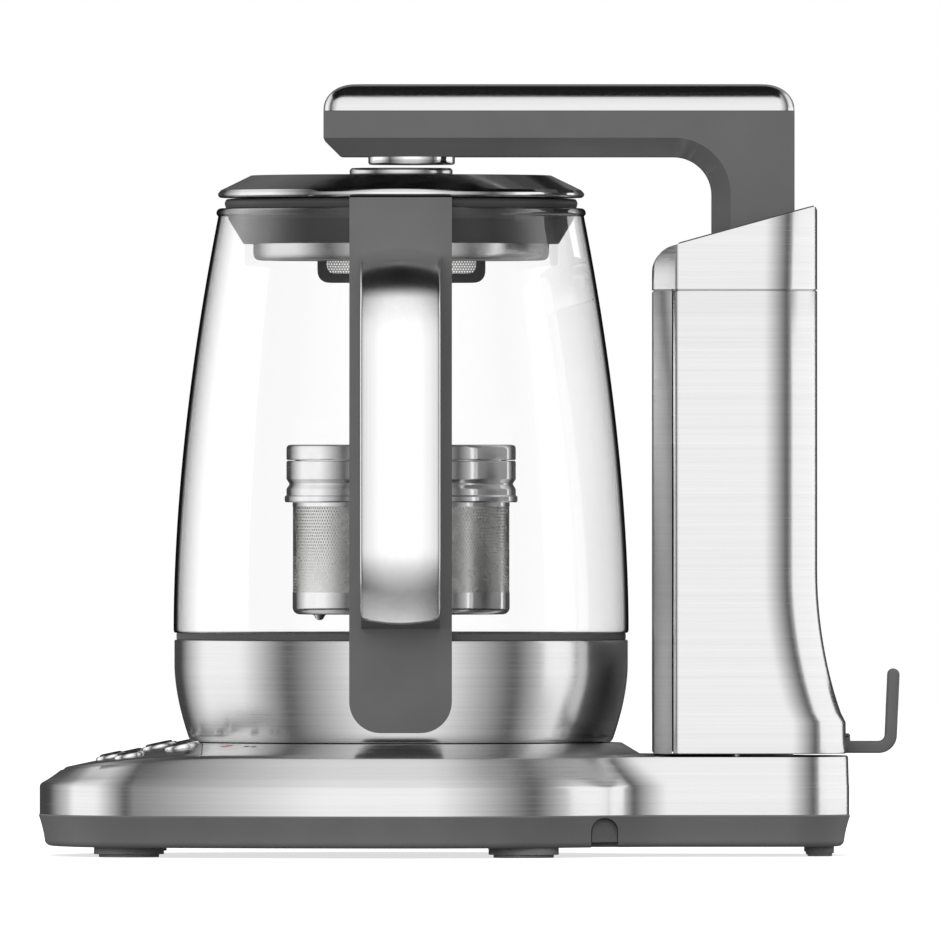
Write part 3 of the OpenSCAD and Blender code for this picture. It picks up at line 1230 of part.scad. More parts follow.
place() base_tray();
place() base_skirt();
place() rubber_feet();
place() base_screws();
place() control_panel();
place() button_bezels();
place() button(0);  // outer_button_left
place() button(1);  // outer_button_middle
place() button(2);  // outer_button_right
place() button(3);  // inner_button_left
place() button(4);  // inner_button_middle
place() button(5);  // inner_button_right
place() indicator_lights();
place() control_board();
place() tact_switches();
place() power_board();
place() base_connector();
place() connector_contacts();
place() cord_grommet();
place() tower_front_panel();
place() tower_shell();
place() tower_cap();
place() tower_top();
place() lift_chassis();
place() guide_rods();
place() screw_bearings();
place() lift_motor();
place() limit_switches();
place() cord_hook();
place() lead_screw();
place() shaft_coupler();
place() lift_carriage();
place() lift_nut();
place() arm_body();
place() arm_cover();
place() coupler_cup();
place() coupler_magnet();
place() arm_screws();
place() glass_jug();
place() rim_ring();
place() handle_strap();
place() grip_face();
place() handle_screws();
place() spout_filter_frame();
place() spout_filter_mesh();
place() glass_gasket();
place() kettle_shell();
place() heater_plate();
place() heating_element();
place() kettle_underside();
place() kettle_connector();
place() lid_cover();
place() lid_plug();
place() lid_cup();
place() lid_seal();
place() rod_head();
place() lift_rod();
place() basket_cap();
place() basket_collar();
place() basket_body();
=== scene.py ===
"""Looks of an automatic tea maker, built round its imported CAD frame.

Shapes are worked out in millimetres about the kettle's own axis, with +X towards the tower, +Y away from
the grip and +Z up, and are moved into the shared frame, in metres, when their meshes are made.
"""

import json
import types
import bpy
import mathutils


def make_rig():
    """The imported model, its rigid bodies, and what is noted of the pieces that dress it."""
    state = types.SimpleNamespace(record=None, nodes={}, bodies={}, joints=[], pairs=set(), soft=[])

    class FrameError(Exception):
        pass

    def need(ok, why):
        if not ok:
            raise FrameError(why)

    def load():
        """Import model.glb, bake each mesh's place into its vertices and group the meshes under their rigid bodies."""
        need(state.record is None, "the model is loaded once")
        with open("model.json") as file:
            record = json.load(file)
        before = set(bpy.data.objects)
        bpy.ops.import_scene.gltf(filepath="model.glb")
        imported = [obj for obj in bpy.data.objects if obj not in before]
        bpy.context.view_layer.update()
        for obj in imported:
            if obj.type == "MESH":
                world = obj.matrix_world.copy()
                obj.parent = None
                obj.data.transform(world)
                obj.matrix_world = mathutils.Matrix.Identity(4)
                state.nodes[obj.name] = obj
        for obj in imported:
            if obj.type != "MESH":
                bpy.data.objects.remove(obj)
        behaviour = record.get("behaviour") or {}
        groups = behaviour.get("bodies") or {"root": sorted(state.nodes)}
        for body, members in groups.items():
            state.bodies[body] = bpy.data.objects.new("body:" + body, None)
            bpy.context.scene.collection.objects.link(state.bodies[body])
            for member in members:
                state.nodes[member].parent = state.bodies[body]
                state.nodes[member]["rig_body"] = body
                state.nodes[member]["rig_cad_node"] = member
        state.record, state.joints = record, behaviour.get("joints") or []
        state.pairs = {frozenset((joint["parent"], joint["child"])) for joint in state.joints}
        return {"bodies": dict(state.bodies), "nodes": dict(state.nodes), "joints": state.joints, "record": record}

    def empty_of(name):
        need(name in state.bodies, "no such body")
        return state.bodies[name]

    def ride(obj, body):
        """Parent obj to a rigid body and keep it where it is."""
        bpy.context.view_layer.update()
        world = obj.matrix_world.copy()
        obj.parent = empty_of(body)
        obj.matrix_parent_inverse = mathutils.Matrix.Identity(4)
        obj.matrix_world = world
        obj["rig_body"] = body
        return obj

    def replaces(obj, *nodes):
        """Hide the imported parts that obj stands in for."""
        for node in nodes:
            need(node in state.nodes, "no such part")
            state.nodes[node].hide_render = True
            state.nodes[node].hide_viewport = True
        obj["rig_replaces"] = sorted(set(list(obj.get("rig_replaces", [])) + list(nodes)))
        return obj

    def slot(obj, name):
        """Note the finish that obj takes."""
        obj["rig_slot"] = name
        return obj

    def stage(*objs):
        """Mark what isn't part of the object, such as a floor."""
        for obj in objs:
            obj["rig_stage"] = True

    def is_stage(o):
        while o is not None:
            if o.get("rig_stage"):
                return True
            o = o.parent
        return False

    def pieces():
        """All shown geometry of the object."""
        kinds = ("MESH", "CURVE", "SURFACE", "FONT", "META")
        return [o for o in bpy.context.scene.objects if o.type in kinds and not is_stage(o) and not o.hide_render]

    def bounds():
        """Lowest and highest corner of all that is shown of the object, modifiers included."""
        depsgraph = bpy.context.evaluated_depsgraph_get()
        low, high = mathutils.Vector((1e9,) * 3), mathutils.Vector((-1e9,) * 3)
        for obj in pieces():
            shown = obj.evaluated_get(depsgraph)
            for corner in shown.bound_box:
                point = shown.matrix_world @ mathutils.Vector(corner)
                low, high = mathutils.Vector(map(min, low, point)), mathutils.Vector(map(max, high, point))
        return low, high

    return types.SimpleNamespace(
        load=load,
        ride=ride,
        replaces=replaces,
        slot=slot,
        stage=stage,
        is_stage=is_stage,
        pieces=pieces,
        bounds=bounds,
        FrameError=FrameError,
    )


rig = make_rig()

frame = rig.load()

import bisect
import functools
import json
import logging
import math
from dataclasses import dataclass, field
from enum import Enum
from typing import Any, Callable, ClassVar, Iterable, Optional, Sequence

import bmesh
import bpy
from mathutils import Vector

LOG = logging.getLogger("tea_maker")
MM = 0.001
SHIFT = (-23.35, 18.35)  # the kettle's axis in the shared frame, in millimetres
Point2 = tuple[float, float]
Point3 = tuple[float, float, float]
Tree, Node, Socket, Solid = bpy.types.NodeTree, bpy.types.Node, bpy.types.NodeSocket, bpy.types.Object
ROUND, FINE_ROUND = 160, 192  # steps round turned pieces


# ------------------------------------------------------------------ dimensions

@dataclass(frozen=True)
class Levels:
    """Heights of the pieces above the surface the object stands on, in millimetres."""

    tray: float = 3.4
    skirt: float = 14.4
    crease: float = 24.7
    deck: float = 35.0
    plateau: float = 38.8
    kettle: float = 39.1
    shell_top: float = 74.1
    plate: float = 75.0
    glass: float = 76.5
    mouth: float = 222.3
    rim: float = 225.5
    lid: float = 225.9
    lid_top: float = 233.6
    head: float = 233.75
    coupler: float = 237.25
    beam: float = 239.95
    cover: float = 255.55
    arm_top: float = 264.85
    basket: float = 82.8
    collar: float = 121.3
    cap: float = 135.6
    cap_top: float = 141.1
    seam: float = 194.3
    tower_top: float = 223.0
    leg: float = 96.0


Z = Levels()
SHELL_R = 77.9
GLASS_R = 78.2
MOUTH_R = 62.3
GLASS_WALL = 1.6
STRAP_T = 4.6
STRAP_W = 35.0
GRIP_Y = 128.2
LIP_Y = 56.0
LIP_R = 21.0
LIP_DROP = 32.0
LIP_FOOT_R = 6.0
PLATEAU_R = 75.8
CUP_R = 50.8
FUNNEL_R = 54.2
FILTER_R = 52.4
BASKET_R = 37.3
COLLAR_R = 39.4
ROD_R = 3.0
TOWER_FRONT = 86.4
TOWER_REAR = 142.7
TOWER_FLARE = 9.9
FLARE_H = 63.0
TOWER_HALF = 44.0
PANEL_SEAM = 93.0
ARM_TIP = -26.6
ARM_HALF = 20.0
LEG_FRONT = 106.7
LEG_REAR = 135.0
ELBOW_R = 13.0
COUPLER_X = 3.6
COUPLER_R = 14.9
SCREW_X = 120.85
HOOK_X = 171.2
HOOK_T = 4.1
HOOK_HALF = 8.0


# ------------------------------------------------------------------ small plane geometry

def arc(centre: Point2, radius: float, start: float, end: float, steps: int) -> list[Point2]:
    """Points along an arc.

    Args:
        centre: the arc's centre.
        radius: its radius.
        start: first direction, in degrees.
        end: last direction, in degrees.
        steps: number of steps between the first and last point.

    Returns:
        steps + 1 points.
    """
    turns = [math.radians(start + (end - start) * i / steps) for i in range(steps + 1)]
    return [(centre[0] + radius * math.cos(t), centre[1] + radius * math.sin(t)) for t in turns]


def fillet(loop: Sequence[Sequence[float]], radius: float = 0.5, steps: int = 3) -> list[Point2]:
    """Rounds the corners of a closed outline.

    Args:
        loop: corners as (x, y), or (x, y, r) where a corner has its own radius.
        radius: radius for corners that name none.
        steps: steps along each rounded corner.

    Returns:
        The rounded outline.
    """
    out: list[Point2] = []
    count = len(loop)
    for i, corner in enumerate(loop):
        p = Vector(corner[:2])
        before, after = Vector(loop[i - 1][:2]) - p, Vector(loop[(i + 1) % count][:2]) - p
        r = corner[2] if len(corner) > 2 else radius
        reach = min(before.length, after.length) * 0.49
        if r <= 0 or reach < 1e-6:
            out.append((p.x, p.y))
            continue
        a, b = before.normalized(), after.normalized()
        half = math.acos(max(-1.0, min(1.0, a.dot(b)))) / 2
        if half > math.radians(89) or half < math.radians(2):
            out.append((p.x, p.y))
            continue
        cut = min(r / math.tan(half), reach)
        for k in range(steps + 1):
            t = k / steps
            q = (1 - t) ** 2 * (p + a * cut) + 2 * t * (1 - t) * p + t * t * (p + b * cut)
            out.append((q.x, q.y))
    return out


def shift_loop(loop: Sequence[Point2], out: float) -> list[Point2]:
    """Moves every point of a closed counter-clockwise outline outwards along its normal.

    Args:
        loop: the outline.
        out: the distance, negative to shrink it.

    Returns:
        The moved outline, with as many points.
    """
    count = len(loop)
    moved = []
    for i, p in enumerate(loop):
        tangent = (Vector(loop[(i + 1) % count]) - Vector(loop[i - 1])).normalized()
        moved.append((p[0] + tangent.y * out, p[1] - tangent.x * out))
    return moved


def oblong(x0: float, x1: float, half: float) -> list[Point2]:
    """The corners of a rectangle from x0 to x1 and from -half to half."""
    return [(x0, -half), (x1, -half), (x1, half), (x0, half)]


def smooth(t: float) -> float:
    """The smoothstep of t, held between 0 and 1."""
    t = max(0.0, min(1.0, t))
    return t * t * (3 - 2 * t)


# ------------------------------------------------------------------ meshes

class Form:
    """Makes closed meshes from outlines given in millimetres about the kettle's axis."""

    def __init__(self, name: str) -> None:
        """Starts an empty mesh.

        Args:
            name: the name that the finished piece gets.
        """
        self.name = name
        self.bm = bmesh.new()

    def ring(self, points: Iterable[Point3]) -> list[bmesh.types.BMVert]:
        """Adds one row of vertices and returns it."""
        return [self.bm.verts.new(((x + SHIFT[0]) * MM, (y + SHIFT[1]) * MM, z * MM)) for x, y, z in points]

    def bridge(self, a: Sequence[Any], b: Sequence[Any]) -> None:
        """Joins two rows of equal count, or a row and a single point, with faces."""
        count = max(len(a), len(b))
        for i in range(count):
            j = (i + 1) % count
            corners = [a[i % len(a)], a[j % len(a)], b[j % len(b)], b[i % len(b)]]
            face = list(dict.fromkeys(corners))
            if len(face) > 2:
                self.bm.faces.new(face)

    def loft(self, rings: Sequence[Sequence[Point3]], closed: bool = False) -> "Form":
        """Adds a solid through rings of equal count.

        Args:
            rings: the rows of points, in order.
            closed: whether the last row joins the first, as in a tube wall, in place of end caps.

        Returns:
            The form itself.
        """
        rows = [self.ring(r) for r in rings]
        for a, b in zip(rows, rows[1:]):
            self.bridge(a, b)
        if closed:
            self.bridge(rows[-1], rows[0])
        else:
            self.bm.faces.new(rows[0])
            self.bm.faces.new(rows[-1])
        return self

    def revolve(self, loop: Sequence[Point2], centre: Point2 = (0, 0), steps: int = 128,
            base: float = 0.0, tilt: Optional[Callable[[Point3], Point3]] = None) -> "Form":
        """Adds a solid of revolution about an upright axis.

        Args:
            loop: closed outline of (radius, height).
            centre: where the axis stands.
            steps: steps round the axis.
            base: height added to the outline's own.
            tilt: moves each point after it is turned, for pieces on a slope.

        Returns:
            The form itself.
        """
        rows = []
        for r, z in loop:
            if r < 1e-4:
                points = [(centre[0], centre[1], base + z)]
            else:
                points = [(centre[0] + r * math.cos(math.tau * k / steps),
                        centre[1] + r * math.sin(math.tau * k / steps), base + z) for k in range(steps)]
            rows.append(self.ring([tilt(p) if tilt else p for p in points]))
        for i, row in enumerate(rows):
            if len(row) > 1 or len(rows[i - 1]) > 1:
                self.bridge(rows[i - 1], row)
        return self

    def prism(self, outline: Sequence[Point2], low: float, high: float, plane: str = "xy", edge: float = 0.0,
            steps: int = 3) -> "Form":
        """Adds an outline drawn out to a solid, with rounded ends.

        Args:
            outline: the closed outline, counter-clockwise.
            low: where it starts along the third axis.
            high: where it ends.
            plane: xy, xz or yz, the plane of the outline.
            edge: radius of the rounding at both ends.
            steps: steps along that rounding.

        Returns:
            The form itself.
        """
        place = {"xy": lambda a, b, c: (a, b, c), "xz": lambda a, b, c: (a, c, b), "yz": lambda a, b,
                c: (c, a, b)}[plane]
        layers = [(0.0, low), (0.0, high)]
        if edge > 0:
            bends = [math.pi / 2 * k / steps for k in range(steps + 1)]
            layers = [(edge * (math.sin(t) - 1), low + edge * (1 - math.cos(t))) for t in bends]
            layers += [(edge * (math.cos(t) - 1), high + edge * (math.sin(t) - 1)) for t in bends]
        rings = [[place(a, b, level) for a, b in shift_loop(outline, out)] for out, level in layers]
        return self.loft(rings)

    def finish(self, sharp: float = 38.0) -> Solid:
        """Turns the form into an object.

        Args:
            sharp: angle in degrees above which an edge stays crisp.

        Returns:
            The object, with its faces outwards and smoothly shaded.
        """
        bmesh.ops.remove_doubles(self.bm, verts=self.bm.verts, dist=1e-7)
        bmesh.ops.recalc_face_normals(self.bm, faces=self.bm.faces)
        mesh = bpy.data.meshes.new(self.name)
        self.bm.to_mesh(mesh)
        self.bm.free()
        shade(mesh, sharp)
        obj = bpy.data.objects.new(self.name, mesh)
        bpy.context.scene.collection.objects.link(obj)
        return obj


def shade(mesh: bpy.types.Mesh, sharp: float = 38.0) -> None:
    """Shades a mesh smoothly but for edges sharper than the angle in degrees."""
    mesh.polygons.foreach_set("use_smooth", [True] * len(mesh.polygons))
    mesh.set_sharp_from_angle(angle=math.radians(sharp))


def bake(obj: Solid, sharp: float = 38.0) -> Solid:
    """Applies an object's modifiers to its mesh and takes them off."""
    graph = bpy.context.evaluated_depsgraph_get()
    graph.update()
    mesh = bpy.data.meshes.new_from_object(obj.evaluated_get(graph), depsgraph=graph)
    obj.modifiers.clear()
    obj.data = mesh
    mesh.name = obj.name
    shade(mesh, sharp)
    return obj


def cut(obj: Solid, tool: Solid, operation: str = "DIFFERENCE") -> Solid:
    """Cuts one object with another, which is used up.

    Args:
        obj: the object that is kept.
        tool: the cutter.
        operation: DIFFERENCE, UNION or INTERSECT.

    Returns:
        The object.
    """
    modifier = obj.modifiers.new("cut", "BOOLEAN")
    modifier.operation, modifier.object, modifier.solver = operation, tool, "EXACT"
    bake(obj)
    bpy.data.objects.remove(tool)
    return obj


def trim(obj: Solid, loop: Sequence[Point2], low: float, high: float, plane: str = "xy",
        operation: str = "DIFFERENCE") -> Solid:
    """Cuts an object with a prism.

    Args:
        obj: the object that is kept.
        loop: the prism's outline.
        low: where it starts.
        high: where it ends.
        plane: the plane of the outline.
        operation: DIFFERENCE, UNION or INTERSECT.

    Returns:
        The object.
    """
    return cut(obj, Form("tool").prism(loop, low, high, plane).finish(), operation)


def soften(obj: Solid, width: float, steps: int = 2, angle: float = 30.0) -> Solid:
    """Rounds an object's crisp edges.

    Args:
        obj: the object.
        width: width of the rounding, in millimetres.
        steps: steps across it.
        angle: angle in degrees above which an edge is rounded.

    Returns:
        The object.
    """
    modifier = obj.modifiers.new("soften", "BEVEL")
    modifier.width, modifier.segments, modifier.limit_method = width * MM, steps, "ANGLE"
    modifier.angle_limit, modifier.use_clamp_overlap = math.radians(angle), True
    return bake(obj)


# ------------------------------------------------------------------ materials

def srgb(code: str) -> tuple[float, float, float, float]:
    """A hex colour as linear red, green, blue and alpha."""
    parts = [int(code[i:i + 2], 16) / 255 for i in (1, 3, 5)]
    linear = [p / 12.92 if p <= 0.04045 else ((p + 0.055) / 1.055) ** 2.4 for p in parts]
    return linear[0], linear[1], linear[2], 1.0


def add_node(tree: Tree, kind: str, inputs: Optional[dict[Any, Any]] = None,
        **settings: Any) -> Node:
    """Adds a node, sets its properties and sockets, and links it.

    Args:
        tree: the node tree.
        kind: the node's type.
        inputs: socket name or index to a value, or to an output socket that is linked to it.
        settings: properties of the node.

    Returns:
        The node.
    """
    node = tree.nodes.new(kind)
    for name, value in settings.items():
        setattr(node, name, value)
    for key, value in (inputs or {}).items():
        if isinstance(value, Socket):
            tree.links.new(value, node.inputs[key])
        else:
            node.inputs[key].default_value = value
    return node


def ramp(tree: Tree, factor: Socket, stops: Sequence[tuple[float, Any]],
        mode: str = "LINEAR") -> Socket:
    """Adds a colour ramp.

    Args:
        tree: the node tree.
        factor: what drives it.
        stops: positions with a grey level or a linear colour.
        mode: how it blends between stops.

    Returns:
        Its colour output.
    """
    node = add_node(tree, "ShaderNodeValToRGB", {"Fac": factor})
    node.color_ramp.interpolation = mode
    elements = node.color_ramp.elements
    for i, (position, value) in enumerate(stops):
        element = elements[i] if i < 2 else elements.new(position)
        element.position = position
        element.color = value if isinstance(value, tuple) else (value, value, value, 1.0)
    return node.outputs["Color"]


@dataclass(frozen=True)
class Finish:
    """A material's name and the settings that all finishes share."""

    name: str
    colour: str = "#808080"
    roughness: float = 0.5

    def surface(self, tree: Tree, shader: Node) -> None:
        """Adds the finish's own detail to the shader. Overridden by each finish."""

    @functools.cache
    def make(self) -> bpy.types.Material:
        """Builds the material once and returns it."""
        material = bpy.data.materials.new(self.name)
        material.use_nodes = True
        tree = material.node_tree
        shader = tree.nodes["Principled BSDF"]
        shader.inputs["Base Color"].default_value = srgb(self.colour)
        shader.inputs["Roughness"].default_value = self.roughness
        self.surface(tree, shader)
        LOG.info("material %s", self.name)
        return material

    @staticmethod
    def noise(tree: Tree, scale: Point3, detail: float = 3.0, rough: float = 0.5) -> Socket:
        """Adds noise in object coordinates.

        Args:
            tree: the node tree.
            scale: waves per metre along X, Y and Z.
            detail: octaves.
            rough: strength of the finer octaves.

        Returns:
            The noise's value.
        """
        place = add_node(tree, "ShaderNodeTexCoord").outputs["Object"]
        mapped = add_node(tree, "ShaderNodeMapping", {"Vector": place, "Scale": scale}).outputs["Vector"]
        return add_node(tree, "ShaderNodeTexNoise", {"Vector": mapped, "Scale": 1.0, "Detail": detail,
                "Roughness": rough}).outputs["Fac"]

    @staticmethod
    def spread(tree: Tree, value: Socket, low: float, high: float) -> Socket:
        """Maps noise between 0.3 and 0.7 to the range from low to high."""
        return add_node(tree, "ShaderNodeMapRange",
                {"Value": value, "From Min": 0.3, "From Max": 0.7, "To Min": low,
                "To Max": high}).outputs["Result"]

    def shades(self, tree: Tree, shader: Node, value: Socket, depth: float) -> None:
        """Varies the base colour by plus or minus depth with a noise value."""
        r, g, b, _ = srgb(self.colour)
        stops = [(0.3, tuple(c * (1 - depth) for c in (r, g, b)) + (1.0,)),
                (0.7, tuple(min(1.0, c * (1 + depth)) for c in (r, g, b)) + (1.0,))]
        tree.links.new(ramp(tree, value, stops), shader.inputs["Base Color"])

    @staticmethod
    def bump(tree: Tree, shader: Node, value: Socket, strength: float,
            distance: float) -> None:
        """Adds a bump of a height in millimetres."""
        node = add_node(tree, "ShaderNodeBump", {"Height": value, "Strength": strength, "Distance": distance * MM})
        tree.links.new(node.outputs["Normal"], shader.inputs["Normal"])


@dataclass(frozen=True)
class BrushedSteel(Finish):
    """Stainless steel with fine level scratches about 0.4 mm apart and up to 60 mm long, as a belt leaves them."""

    streaks: Point3 = (9.0, 9.0, 1900.0)
    depth: float = 0.07
    lines: float = 0.05
    stretch: float = 0.82
    turn: float = 0.25

    def surface(self, tree: Tree, shader: Node) -> None:
        """Adds the scratches to colour, roughness and bump."""
        shader.inputs["Metallic"].default_value = 1.0
        shader.inputs["Anisotropic"].default_value = self.stretch
        shader.inputs["Anisotropic Rotation"].default_value = self.turn
        tangent = add_node(tree, "ShaderNodeTangent", direction_type="RADIAL", axis="Z")
        tree.links.new(tangent.outputs["Tangent"], shader.inputs["Tangent"])
        fine = self.noise(tree, self.streaks, 4.0, 0.65)
        broad = self.noise(tree, tuple(s * 0.22 for s in self.streaks), 2.0, 0.5)
        both = add_node(tree, "ShaderNodeMix", {"Factor": 0.35, "A": fine, "B": broad},
                data_type="FLOAT").outputs["Result"]
        self.shades(tree, shader, both, self.depth)
        tree.links.new(self.spread(tree, fine, self.roughness - 0.05, self.roughness + 0.06),
                shader.inputs["Roughness"])
        self.bump(tree, shader, fine, self.lines, 0.05)


@dataclass(frozen=True)
class PolishedSteel(Finish):
    """Buffed stainless steel: nearly a mirror, with very faint rubbing marks a few millimetres across."""

    marks: float = 220.0

    def surface(self, tree: Tree, shader: Node) -> None:
        """Adds the faint marks to roughness and colour."""
        shader.inputs["Metallic"].default_value = 1.0
        marks = self.noise(tree, (self.marks, self.marks, self.marks), 3.0, 0.5)
        tree.links.new(self.spread(tree, marks, self.roughness * 0.75, self.roughness * 1.3),
                shader.inputs["Roughness"])
        self.shades(tree, shader, marks, 0.03)


@dataclass(frozen=True)
class MouldedPlastic(Finish):
    """Injection-moulded ABS with a fine spark-eroded grain about 0.5 mm across."""

    grain: float = 1900.0
    height: float = 0.012
    gloss: float = 0.4

    def surface(self, tree: Tree, shader: Node) -> None:
        """Adds the grain and a slight unevenness of gloss."""
        shader.inputs["Specular IOR Level"].default_value = self.gloss
        grain = self.noise(tree, (self.grain,) * 3, 2.0, 0.6)
        broad = self.noise(tree, (60.0, 60.0, 60.0), 2.0, 0.5)
        self.shades(tree, shader, broad, 0.05)
        tree.links.new(self.spread(tree, grain, self.roughness - 0.05, self.roughness + 0.05),
                shader.inputs["Roughness"])
        self.bump(tree, shader, grain, 0.35, self.height)


@dataclass(frozen=True)
class GlossyPanel(Finish):
    """Clear-coated black plastic or smoked glass, with a trace of orange peel 4 mm across."""

    def surface(self, tree: Tree, shader: Node) -> None:
        """Adds the coat and its faint waviness."""
        shader.inputs["Specular IOR Level"].default_value = 0.35
        shader.inputs["Coat Weight"].default_value = 0.15
        shader.inputs["Coat Roughness"].default_value = 0.08
        peel = self.noise(tree, (250.0, 250.0, 250.0), 2.0, 0.5)
        self.shades(tree, shader, peel, 0.08)
        self.bump(tree, shader, peel, 0.1, 0.01)


@dataclass(frozen=True)
class MouldedRubber(Finish):
    """Matt silicone or rubber with a soft, slightly dusty surface and grain about 1 mm across."""

    def surface(self, tree: Tree, shader: Node) -> None:
        """Adds sheen and grain."""
        shader.inputs["Sheen Weight"].default_value = 0.08
        shader.inputs["Specular IOR Level"].default_value = 0.25
        grain = self.noise(tree, (900.0, 900.0, 900.0), 3.0, 0.6)
        self.shades(tree, shader, grain, 0.08)
        self.bump(tree, shader, grain, 0.3, 0.02)


@dataclass(frozen=True)
class BlownGlass(Finish):
    """Clear borosilicate glass: light passes straight through its thin wall, dims where the wall is seen edge-on,
    and is mirrored more and more towards the edges, with faint draw waves 30 mm long."""

    dimming: tuple[tuple[float, float], ...] = ((0.0, 1.0), (0.74, 0.99), (0.775, 0.9), (0.81, 0.4), (0.84, 0.08),
            (0.9, 0.02))
    mirror: float = 1.0

    def surface(self, tree: Tree, shader: Node) -> None:
        """Replaces the plain shader with clear and mirrored parts."""
        waves = self.noise(tree, (28.0, 28.0, 90.0), 1.0, 0.4)
        bent = add_node(tree, "ShaderNodeBump",
                {"Height": waves, "Strength": 0.04, "Distance": 0.1 * MM}).outputs[0]
        edge = add_node(tree, "ShaderNodeLayerWeight", {"Blend": 0.5}).outputs["Facing"]
        clear = add_node(tree, "ShaderNodeBsdfTransparent", {"Color": ramp(tree, edge, self.dimming)}).outputs[0]
        away = add_node(tree, "ShaderNodeLayerWeight", {"Blend": 0.5, "Normal": bent}).outputs["Facing"]
        share = ((0.0, 0.012), (0.2, 0.03), (0.35, 0.1), (0.5, 0.19), (0.65, 0.3), (0.76, 0.42), (0.82, 0.1),
                (1.0, 0.02))
        held = ramp(tree, away, [(p, min(1.0, v * self.mirror)) for p, v in share])
        gloss = add_node(tree, "ShaderNodeBsdfGlossy",
                {"Color": (1.0, 1.0, 1.0, 1.0), "Roughness": 0.02, "Normal": bent}).outputs[0]
        both = add_node(tree, "ShaderNodeMixShader", {0: held, 1: clear, 2: gloss}).outputs[0]
        tree.links.new(both, tree.nodes["Material Output"].inputs["Surface"])
        tree.nodes.remove(shader)


@dataclass(frozen=True)
class LampLens(Finish):
    """Translucent coloured acrylic of an indicator lamp that is off."""

    def surface(self, tree: Tree, shader: Node) -> None:
        """Lets a little light through and varies the depth of colour."""
        shader.inputs["Transmission Weight"].default_value = 0.2
        haze = self.noise(tree, (800.0, 800.0, 800.0), 2.0, 0.5)
        self.shades(tree, shader, haze, 0.1)


@dataclass(frozen=True)
class PlainMetal(Finish):
    """Turned, plated or drawn metal of small parts: ring marks about 0.3 mm apart along Z."""

    def surface(self, tree: Tree, shader: Node) -> None:
        """Adds the tool marks."""
        shader.inputs["Metallic"].default_value = 1.0
        marks = self.noise(tree, (120.0, 120.0, 3000.0), 2.0, 0.5)
        self.shades(tree, shader, marks, 0.06)
        tree.links.new(self.spread(tree, marks, self.roughness - 0.05, self.roughness + 0.07),
                shader.inputs["Roughness"])


@dataclass(frozen=True)
class CircuitBoard(Finish):
    """Green solder mask over woven glass: a 0.6 mm weave and darker copper areas."""

    def surface(self, tree: Tree, shader: Node) -> None:
        """Adds copper areas and weave."""
        copper = self.noise(tree, (420.0, 420.0, 420.0), 0.0, 0.5)
        self.shades(tree, shader, copper, 0.35)
        weave = self.noise(tree, (1600.0, 1600.0, 1600.0), 1.0, 0.5)
        self.bump(tree, shader, weave, 0.2, 0.02)


class Look(Enum):
    """Every finish on the object."""

    HOUSING_STEEL = BrushedSteel("housing_steel", "#d6d6d6", 0.22)
    TOWER_STEEL = BrushedSteel("tower_steel", "#d6d6d6", 0.22)
    STRIP_STEEL = BrushedSteel("strip_steel", "#e4e4e4", 0.5)
    KETTLE_STEEL = BrushedSteel("kettle_steel", "#d6d6d6", 0.22)
    ARM_STEEL = BrushedSteel("arm_steel", "#d4d4d4", 0.17, (9.0, 1900.0, 1900.0), 0.05, 0.03, 0.5)
    GRIP_STEEL = BrushedSteel("grip_steel", "#ececec", 0.2, (1900.0, 1900.0, 9.0), 0.05, 0.03, 0.4, 0.0)
    MESH_STEEL = PolishedSteel("perforated_stainless_steel", "#c6c6c4", 0.25)
    SATIN_STEEL = PolishedSteel("satin_stainless_steel", "#cdcdcd", 0.2)
    # A darker copy of the polished steel, for the lid's cover: painted shade.
    LID_STEEL = PolishedSteel("dark_stainless_steel", "#b4b4b6", 0.16)
    POLISHED_STEEL = PolishedSteel("polished_stainless_steel", "#d8d8d9", 0.1)
    CHROME = PolishedSteel("chrome_plate", "#e6e6e8", 0.05)
    GREY_PLASTIC = MouldedPlastic("grey_abs", "#646464", 0.5)
    # A lighter copy of the grey plastic, for the tray: painted light.
    TRAY_PLASTIC = MouldedPlastic("grey_polypropylene", "#6d6d6d", 0.5)
    BUSH_RUBBER = MouldedRubber("moulded_pvc", "#6a6a6a", 0.7)
    DARK_PLASTIC = MouldedPlastic("dark_grey_abs", "#454545", 0.45)
    INNER_PLASTIC = MouldedPlastic("black_polypropylene", "#2b2b2c", 0.55)
    BLACK_PANEL = GlossyPanel("black_acrylic", "#0b0b0c", 0.18)
    BUTTON_BLACK = GlossyPanel("black_abs", "#101011", 0.25)
    # Dark rubber painted light grey: painted light against the shade under the housing.
    FOOT_RUBBER = MouldedRubber("grey_rubber", "#8c8c8c", 0.8)
    SILICONE = MouldedRubber("grey_silicone", "#585858", 0.6)
    GLASS = BlownGlass("borosilicate_glass", "#ffffff", 0.0)
    GLASS_INSIDE = BlownGlass("borosilicate_glass_inside", "#ffffff", 0.0, ((0.0, 1.0), (0.9, 0.99), (1.0, 0.9)),
            0.05)
    GLASS_MOUTH = BlownGlass("fire_polished_glass", "#ffffff", 0.0,
            ((0.0, 0.97), (0.3, 0.9), (0.55, 0.5), (0.8, 0.1), (1.0, 0.02)), 1.6)
    RED_LENS = LampLens("red_acrylic", "#b3100c", 0.2)
    DARK_LENS = LampLens("smoked_acrylic", "#161616", 0.3)
    BOARD = CircuitBoard("solder_mask", "#0f4a26", 0.4)
    BRASS = PlainMetal("brass", "#c79c4f", 0.3)
    ZINC = PlainMetal("zinc_plated_steel", "#b4b5b7", 0.35)
    MOTOR_CAN = PlainMetal("drawn_steel", "#7d8084", 0.4)
    NICKEL = PlainMetal("nickel_plate", "#a9a9ab", 0.22)
    SHEATH = PlainMetal("oxidised_sheath_steel", "#4a4542", 0.5)


def dress(obj: Solid, look: Look) -> None:
    """Gives an object one material over all its faces."""
    material = look.value.make()
    obj.data.materials.clear()
    obj.data.materials.append(material)
    if obj.type == "MESH":
        obj.data.polygons.foreach_set("material_index", [0] * len(obj.data.polygons))


